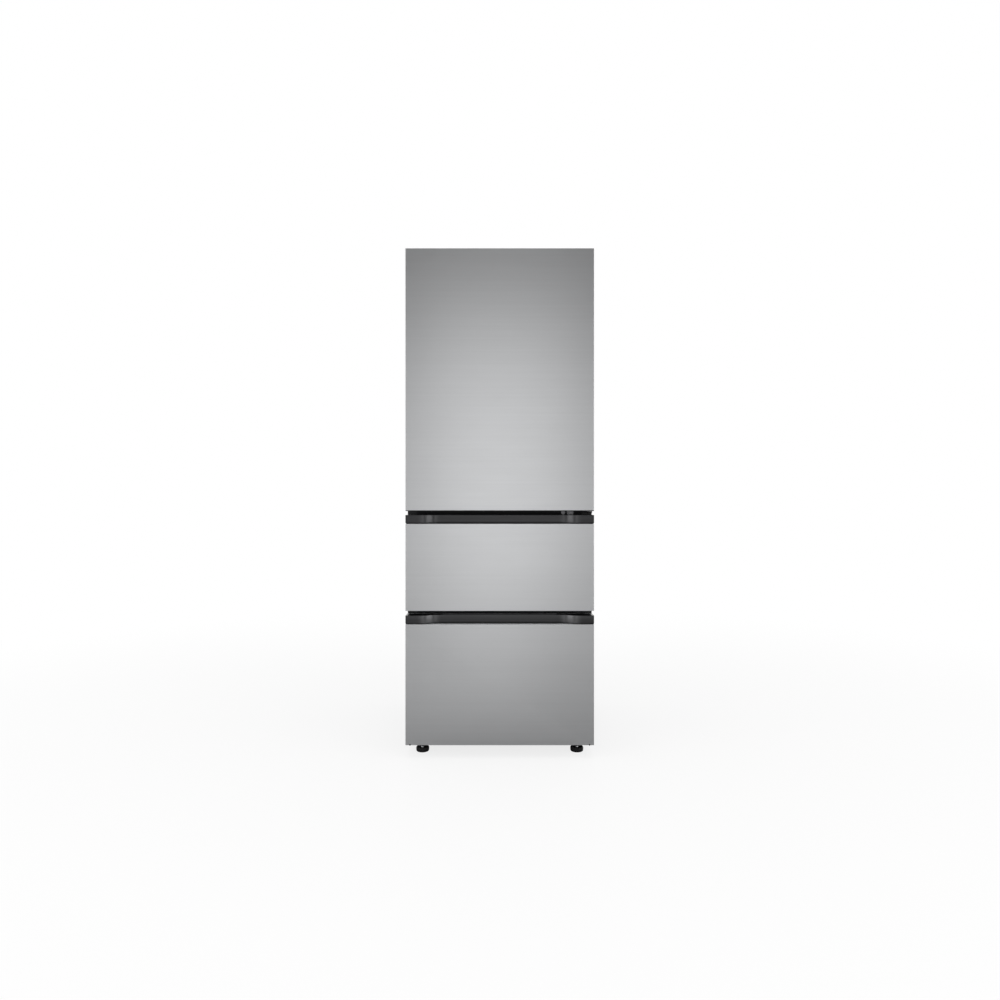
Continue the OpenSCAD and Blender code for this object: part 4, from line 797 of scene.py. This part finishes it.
def hinge_washer():
    """Washer ring round the bolt of the lower hinge that stands nearer its pin."""
    bolt_in, plate_t = 36 * MM, 3 * MM
    inner_r, outer_r, height, edge = 7.6 * MM, 12 * MM, 1.3 * MM, 0.4 * MM
    slot_z = (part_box("middle_handle")[1].z + DOOR_LO.z) / 2
    bolt_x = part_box("middle_hinge")[0].x + bolt_in
    place = facing(FORWARDS, bolt_x, CASE_Y - plate_t, slot_z)
    profile = [(inner_r, 0), (outer_r, 0), (outer_r, height - edge), (outer_r - edge, height),
               (inner_r + edge, height), (inner_r, height - edge), (inner_r, 0)]
    mesh = bmesh.new()
    turned_ring(mesh, profile, place)
    piece = new_piece("hinge_washer", mesh, "plated_steel", "cabinet")
    piece.data.materials[0] = FASTENERS


def drawer_bumpers(skin):
    """Rubber plugs in two notches of the bottom drawer's lower edge."""
    aside, up, radius, length = 317 * MM, 1.2 * MM, 3.0 * MM, 9 * MM
    play, ahead, steps = 0.05 * MM, 1 * MM, 24
    hole = [(radius + play, -ahead), (radius + play, length)]
    profile = [(0.6 * radius, 0.1 * MM), (0.9 * radius, 0.3 * MM), (radius, 0.9 * MM), (radius, length)]
    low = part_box("lower_panel")[0]
    for side, word in ((-1, "left"), (1, "right")):
        place = facing(BACKWARDS, side * aside, FRONT_Y, low.z + up)
        notch = bmesh.new()
        lathe(notch, hole, place, steps)
        cut(skin, notch)
        plug = bmesh.new()
        lathe(plug, profile, place, steps)
        new_piece(f"bumper_{word}", plug, "rubber", "lower_drawer")


# A foot's knob, from the sole up its wall and down into its dished top: the height in millimetres,
# the share of the radius, and the share of the grooves' depth
KNOB_PROFILE = (
    (0.0, 0.84, 0), (0.8, 0.91, 0), (2.2, 0.96, 0.3), (4.5, 0.99, 0.9), (8.0, 1.0, 1), (13.0, 1.0, 1),
    (15.5, 0.97, 0.7), (16.6, 0.92, 0.2), (17.0, 0.85, 0), (16.4, 0.74, 0), (14.2, 0.62, 0),
    (13.6, 0.45, 0), (14.4, 0.36, 0), (15.2, 0.3, 0),
)


def knob_mesh(place, radius):
    """Barrel with upright grooves."""
    grooves, groove_d, steps = 16, 1.3 * MM, 192
    angles = [2 * math.pi * i / steps for i in range(steps)]
    levels = []
    for height, share, cut_share in KNOB_PROFILE:
        plan = []
        for a in angles:
            r = radius * share - max(0.0, math.cos(a * grooves)) ** 3 * groove_d * cut_share
            plan.append((r * math.cos(a), r * math.sin(a)))
        levels.append(at_level(plan, height * MM, place))
    mesh = bmesh.new()
    loft(mesh, levels)
    return mesh


def stud_mesh(place, stud_r, top):
    """Round stud from the knob's dish to its top: a cone, a thread and a chamfered end."""
    foot_z, cone_h, foot_out, cone_out = 13.5 * MM, 4.8 * MM, 1.6 * MM, 0.3 * MM
    pitch, thread_d, start, steps = 1.6 * MM, 0.5 * MM, 0.3, 32
    end_h, end_in, plain_h = 1.5 * MM, 1.2 * MM, 2 * MM
    turns = int((top - foot_z - plain_h) / pitch)
    profile = [(stud_r + foot_out, foot_z), (stud_r + cone_out, foot_z + cone_h)]
    for i in range(round(cone_h / pitch), turns):
        z = foot_z + (i + start) * pitch
        profile += [(stud_r, z), (stud_r - thread_d, z + pitch / 2)]
    profile += [(stud_r, top - end_h), (stud_r - end_in, top)]
    mesh = bmesh.new()
    lathe(mesh, profile, place, steps)
    return mesh


def nut_mesh(place, stud_r):
    """Hexagon nut over the knob, with chamfered corners."""
    nut_r, chamfer_in, sides = 8.5 * MM, 1 * MM, 6
    bottom, wall_from, wall_to, top = 18.6 * MM, 19.4 * MM, 23 * MM, 24 * MM
    profile = [(stud_r, bottom), (nut_r - chamfer_in, bottom), (nut_r, wall_from), (nut_r, wall_to),
               (nut_r - chamfer_in, top), (stud_r, top)]
    mesh = bmesh.new()
    lathe(mesh, profile, place, sides)
    return mesh


def levelling_foot(side):
    """Grooved barrel knob with a dished top on a threaded steel stud."""
    stud_r = 4.6 * MM
    node = f"foot_{side}"
    low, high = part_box(node)
    middle = (low + high) / 2
    place = Matrix.Translation((middle.x, middle.y, low.z))
    knob = new_piece(f"foot_knob_{side}", knob_mesh(place, (high.x - low.x) / 2), "foot_plastic", node)
    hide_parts(node)
    stud = new_piece(f"foot_stud_{side}", stud_mesh(place, stud_r, high.z - low.z), "plated_steel", node)
    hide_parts(node)
    nut = new_piece(f"foot_nut_{side}", nut_mesh(place, stud_r), "black_enamel", node)
    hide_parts(node)


# Covers on the back

def back_screws(name, places):
    """Pan-head screws with cross recesses."""
    radius, height, steps = 4 * MM, 1.7 * MM, 24
    arm, half_slot, recess, above = 2.4 * MM, 0.5 * MM, 1.1 * MM, 1 * MM
    bottom_share, top_share = 0.5, 1.1
    profile = [(radius, 0), (radius, 0.5 * MM), (0.9 * radius, 1.1 * MM), (0.6 * radius, 1.6 * MM),
               (0.2 * radius, height)]
    slot_end = [(half_slot, half_slot), (half_slot, arm), (-half_slot, arm)]
    cross = []
    for _ in range(4):
        cross += slot_end
        slot_end = [(-y, x) for x, y in slot_end]
    narrow, wide = ([(x * share, y * share) for x, y in cross] for share in (bottom_share, top_share))
    heads, crosses = bmesh.new(), bmesh.new()
    for place in places:
        lathe(heads, profile, place, steps)
        loft(crosses, [at_level(narrow, height - recess, place), at_level(wide, height + above, place)])
    cut(new_piece(name, heads, "plated_steel", "cabinet"), crosses)


def board_plate():
    """Vented cover of the control board, with a dimple round each of its screws."""
    low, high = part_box("board_cover")
    middle = (low + high) / 2
    thick = high.y - low.y
    place = facing(BACKWARDS, middle.x, low.y, middle.z)
    half_w, half_h, corner, edge = (high.x - low.x) / 2, (high.z - low.z) / 2, 8 * MM, 0.8 * MM
    levels = []
    for z, inset in [(0, 0)] + [(thick - h, i) for i, h in reversed(quarter(edge))]:
        x, y = half_w - inset, half_h - inset
        levels.append(at_level(rounded_rect(-x, x, -y, y, corner - inset), z, place))
    mesh = bmesh.new()
    loft(mesh, levels)
    plate = new_piece("board_plate", mesh, "duct_plastic", "cabinet")
    holes = bmesh.new()
    vents, pitch, half_l, half_vent, beyond = 7, 10 * MM, 60 * MM, 2 * MM, 1 * MM
    for i in range(vents):
        y = (i - (vents - 1) / 2) * pitch
        plan = rounded_rect(-half_l, half_l, y - half_vent, y + half_vent, half_vent)
        loft(holes, [at_level(plan, z, place) for z in (-beyond, thick + beyond)])
    screw_in, sunk, steps = 16 * MM, 1.9 * MM, 32
    dimple = [(5.5 * MM, thick - sunk), (7.5 * MM, thick + 0.1 * MM)]
    x, y = half_w - screw_in, half_h - screw_in
    corners = [(-x, -y), (x, -y), (x, y), (-x, y)]
    for u, v in corners:
        lathe(holes, dimple, place @ Matrix.Translation((u, v, 0)), steps)
    cut(plate, holes)
    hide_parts("board_cover")
    back_screws("board_screws", [place @ Matrix.Translation((u, v, thick - sunk)) for u, v in corners])


def cover_screws():
    """Screws along the edges of the machine room's cover."""
    low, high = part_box("machine_room_cover")
    inset = 14 * MM
    side = high.x - inset
    places = [(share * side, high.z - inset) for share in (-1, -0.5, 0, 0.5, 1)]
    places += [(share * side, low.z + inset) for share in (-1, 0, 1)]
    back_screws("cover_screws", [facing(BACKWARDS, x, high.y, z) for x, z in places])


# Stage

def by_ray(tree, seen, reflected, other):
    """One value for camera and transmission rays, one for glossy rays and one for the rest."""
    ray = tree.nodes.new("ShaderNodeLightPath").outputs
    direct = calculate(tree, "MAXIMUM", ray["Is Camera Ray"], ray["Is Transmission Ray"])
    indirect = mix(tree, "FLOAT", ray["Is Glossy Ray"], other, reflected)
    return mix(tree, "FLOAT", direct, indirect, seen)


def add_world():
    """White for the camera; reflections see it dim towards the ceiling and behind the camera."""
    seen, ambient, ceiling, behind_camera, sides = 1.0, 0.55, 0.125, 0.3, 0.85
    # Between these shares of a direction along an axis the brightness changes
    ceiling_from, ceiling_full = 0.08, 0.4
    behind_full, behind_to = -0.9, -0.5
    world = bpy.data.worlds.new("studio")
    bpy.context.scene.world = world
    world.use_nodes = True
    tree = world.node_tree
    background = tree.nodes["Background"]
    background.inputs["Color"].default_value = (1, 1, 1, 1)
    up = fade(tree, coordinate(tree, "Generated", "Z"), ceiling_from, ceiling_full, 1.0, ceiling)
    around = fade(tree, coordinate(tree, "Generated", "Y"), behind_full, behind_to, behind_camera, sides)
    reflected = calculate(tree, "MULTIPLY", up, around)
    tree.links.new(by_ray(tree, seen, reflected, ambient), background.inputs["Strength"])


def add_floor():
    """A pale floor that keeps the refrigerator's shadow and fades into the white background.

    A share of it is plain white instead of lit. For the camera that share grows with the distance.
    The lowest front mirrors it as a lane that starts a little way off and dims to both sides.
    """
    size, steps = 14.0, 96
    direct_color, bounce_color = 1.0, 0.4
    near, far, white_near, white_far = 0.8, 3.6, 0.8, 1.0
    lane_x, lane_half, lane, beside = -0.1, 0.7, 0.93, 0.2
    lane_start, lane_full = 0.08, 2.3
    mesh = bmesh.new()
    bmesh.ops.create_circle(mesh, cap_ends=True, segments=steps, radius=size)
    floor = bpy.data.objects.new("floor", as_data("floor", mesh))
    bpy.context.collection.objects.link(floor)
    material = bpy.data.materials.new("floor")
    material.use_nodes = True
    tree = material.node_tree
    tree.nodes.clear()
    output = tree.nodes.new("ShaderNodeOutputMaterial")
    diffuse = tree.nodes.new("ShaderNodeBsdfDiffuse")
    tree.links.new(by_ray(tree, direct_color, bounce_color, bounce_color), diffuse.inputs["Color"])
    white = tree.nodes.new("ShaderNodeEmission")
    place = tree.nodes.new("ShaderNodeTexCoord")
    length = tree.nodes.new("ShaderNodeVectorMath")
    length.operation = "LENGTH"
    tree.links.new(place.outputs["Object"], length.inputs[0])
    distance = length.outputs["Value"]
    seen = fade(tree, distance, near, far, white_near, white_far)
    aside = calculate(tree, "ABSOLUTE", calculate(tree, "SUBTRACT", coordinate(tree, "Object", "X"), lane_x))
    along_lane = fade(tree, distance, lane_start, lane_full, 0.0, 1.0)
    across_lane = fade(tree, aside, 0.0, lane_half, lane, beside)
    reflected = calculate(tree, "MULTIPLY", along_lane, across_lane)
    blend = tree.nodes.new("ShaderNodeMixShader")
    tree.links.new(by_ray(tree, seen, reflected, 0.0), blend.inputs[0])
    tree.links.new(diffuse.outputs[0], blend.inputs[1])
    tree.links.new(white.outputs[0], blend.inputs[2])
    tree.links.new(blend.outputs[0], output.inputs[0])
    floor.data.materials.append(material)


def add_softbox(name, place, aim, size, watts):
    """An area light, width by height in size, that points from its place at its aim."""
    data = bpy.data.lights.new(name, "AREA")
    data.shape = "RECTANGLE"
    data.size, data.size_y = size
    data.energy = watts
    light = bpy.data.objects.new(name, data)
    light.location = place
    light.rotation_euler = (Vector(aim) - Vector(place)).to_track_quat("-Z", "Y").to_euler()
    bpy.context.collection.objects.link(light)


def add_lights():
    """A large upright softbox behind the camera, which the fronts mirror, and four dimmer ones around."""
    x, away, low, high, wide = -0.03, 3.4, 0.1, 2.445, 2.2
    watts_a_square_metre = 4.04
    z, tall = (low + high) / 2, high - low
    add_softbox("front", (x, FRONT_Y - away, z), (x, FRONT_Y, z), (wide, tall),
                watts_a_square_metre * wide * tall)
    fronts, middle = (0, FRONT_Y, 0.95), (0, 0, 0.9)
    for name, place, aim, size, watts in (
        ("side_left", (-2.9, FRONT_Y - 1.8, 1.0), fronts, (2.6, 2.2), 27),
        ("side_right", (2.9, FRONT_Y - 1.8, 1.0), fronts, (2.6, 2.2), 26),
        ("top", (0, -0.6, 3.6), middle, (2.6, 2.6), 25),
        ("back", (0, 3.4, 1.6), middle, (2.4, 2.0), 25),
    ):
        add_softbox(name, place, aim, size, watts)


add_camera()
dress_nodes()
round_edges()
front_skin("door_skin", "door_panel", "door", bottom_fold=False)
front_skin("middle_skin", "middle_panel", "middle_drawer", bottom_fold=True)
lower_skin = front_skin("lower_skin", "lower_panel", "lower_drawer", bottom_fold=True)
handle_trim("middle_trim", "middle_handle", "middle_drawer")
# The lower trim takes the lighter copy of the trim finish, which is painted light.
handle_trim("lower_trim", "lower_handle", "lower_drawer").data.materials[0] = PAINTED_LIGHT_TRIM
bellows_gasket("door_seal", "door_gasket", "door")
bellows_gasket("middle_seal", "middle_gasket", "middle_drawer")
bellows_gasket("lower_seal", "lower_gasket", "lower_drawer")
control_details()
door_lip()
hinge_washer()
drawer_bumpers(lower_skin)
levelling_foot("left")
levelling_foot("right")
board_plate()
cover_screws()
add_world()
add_floor()
add_lights()
bpy.context.scene.view_settings.view_transform = "Standard"
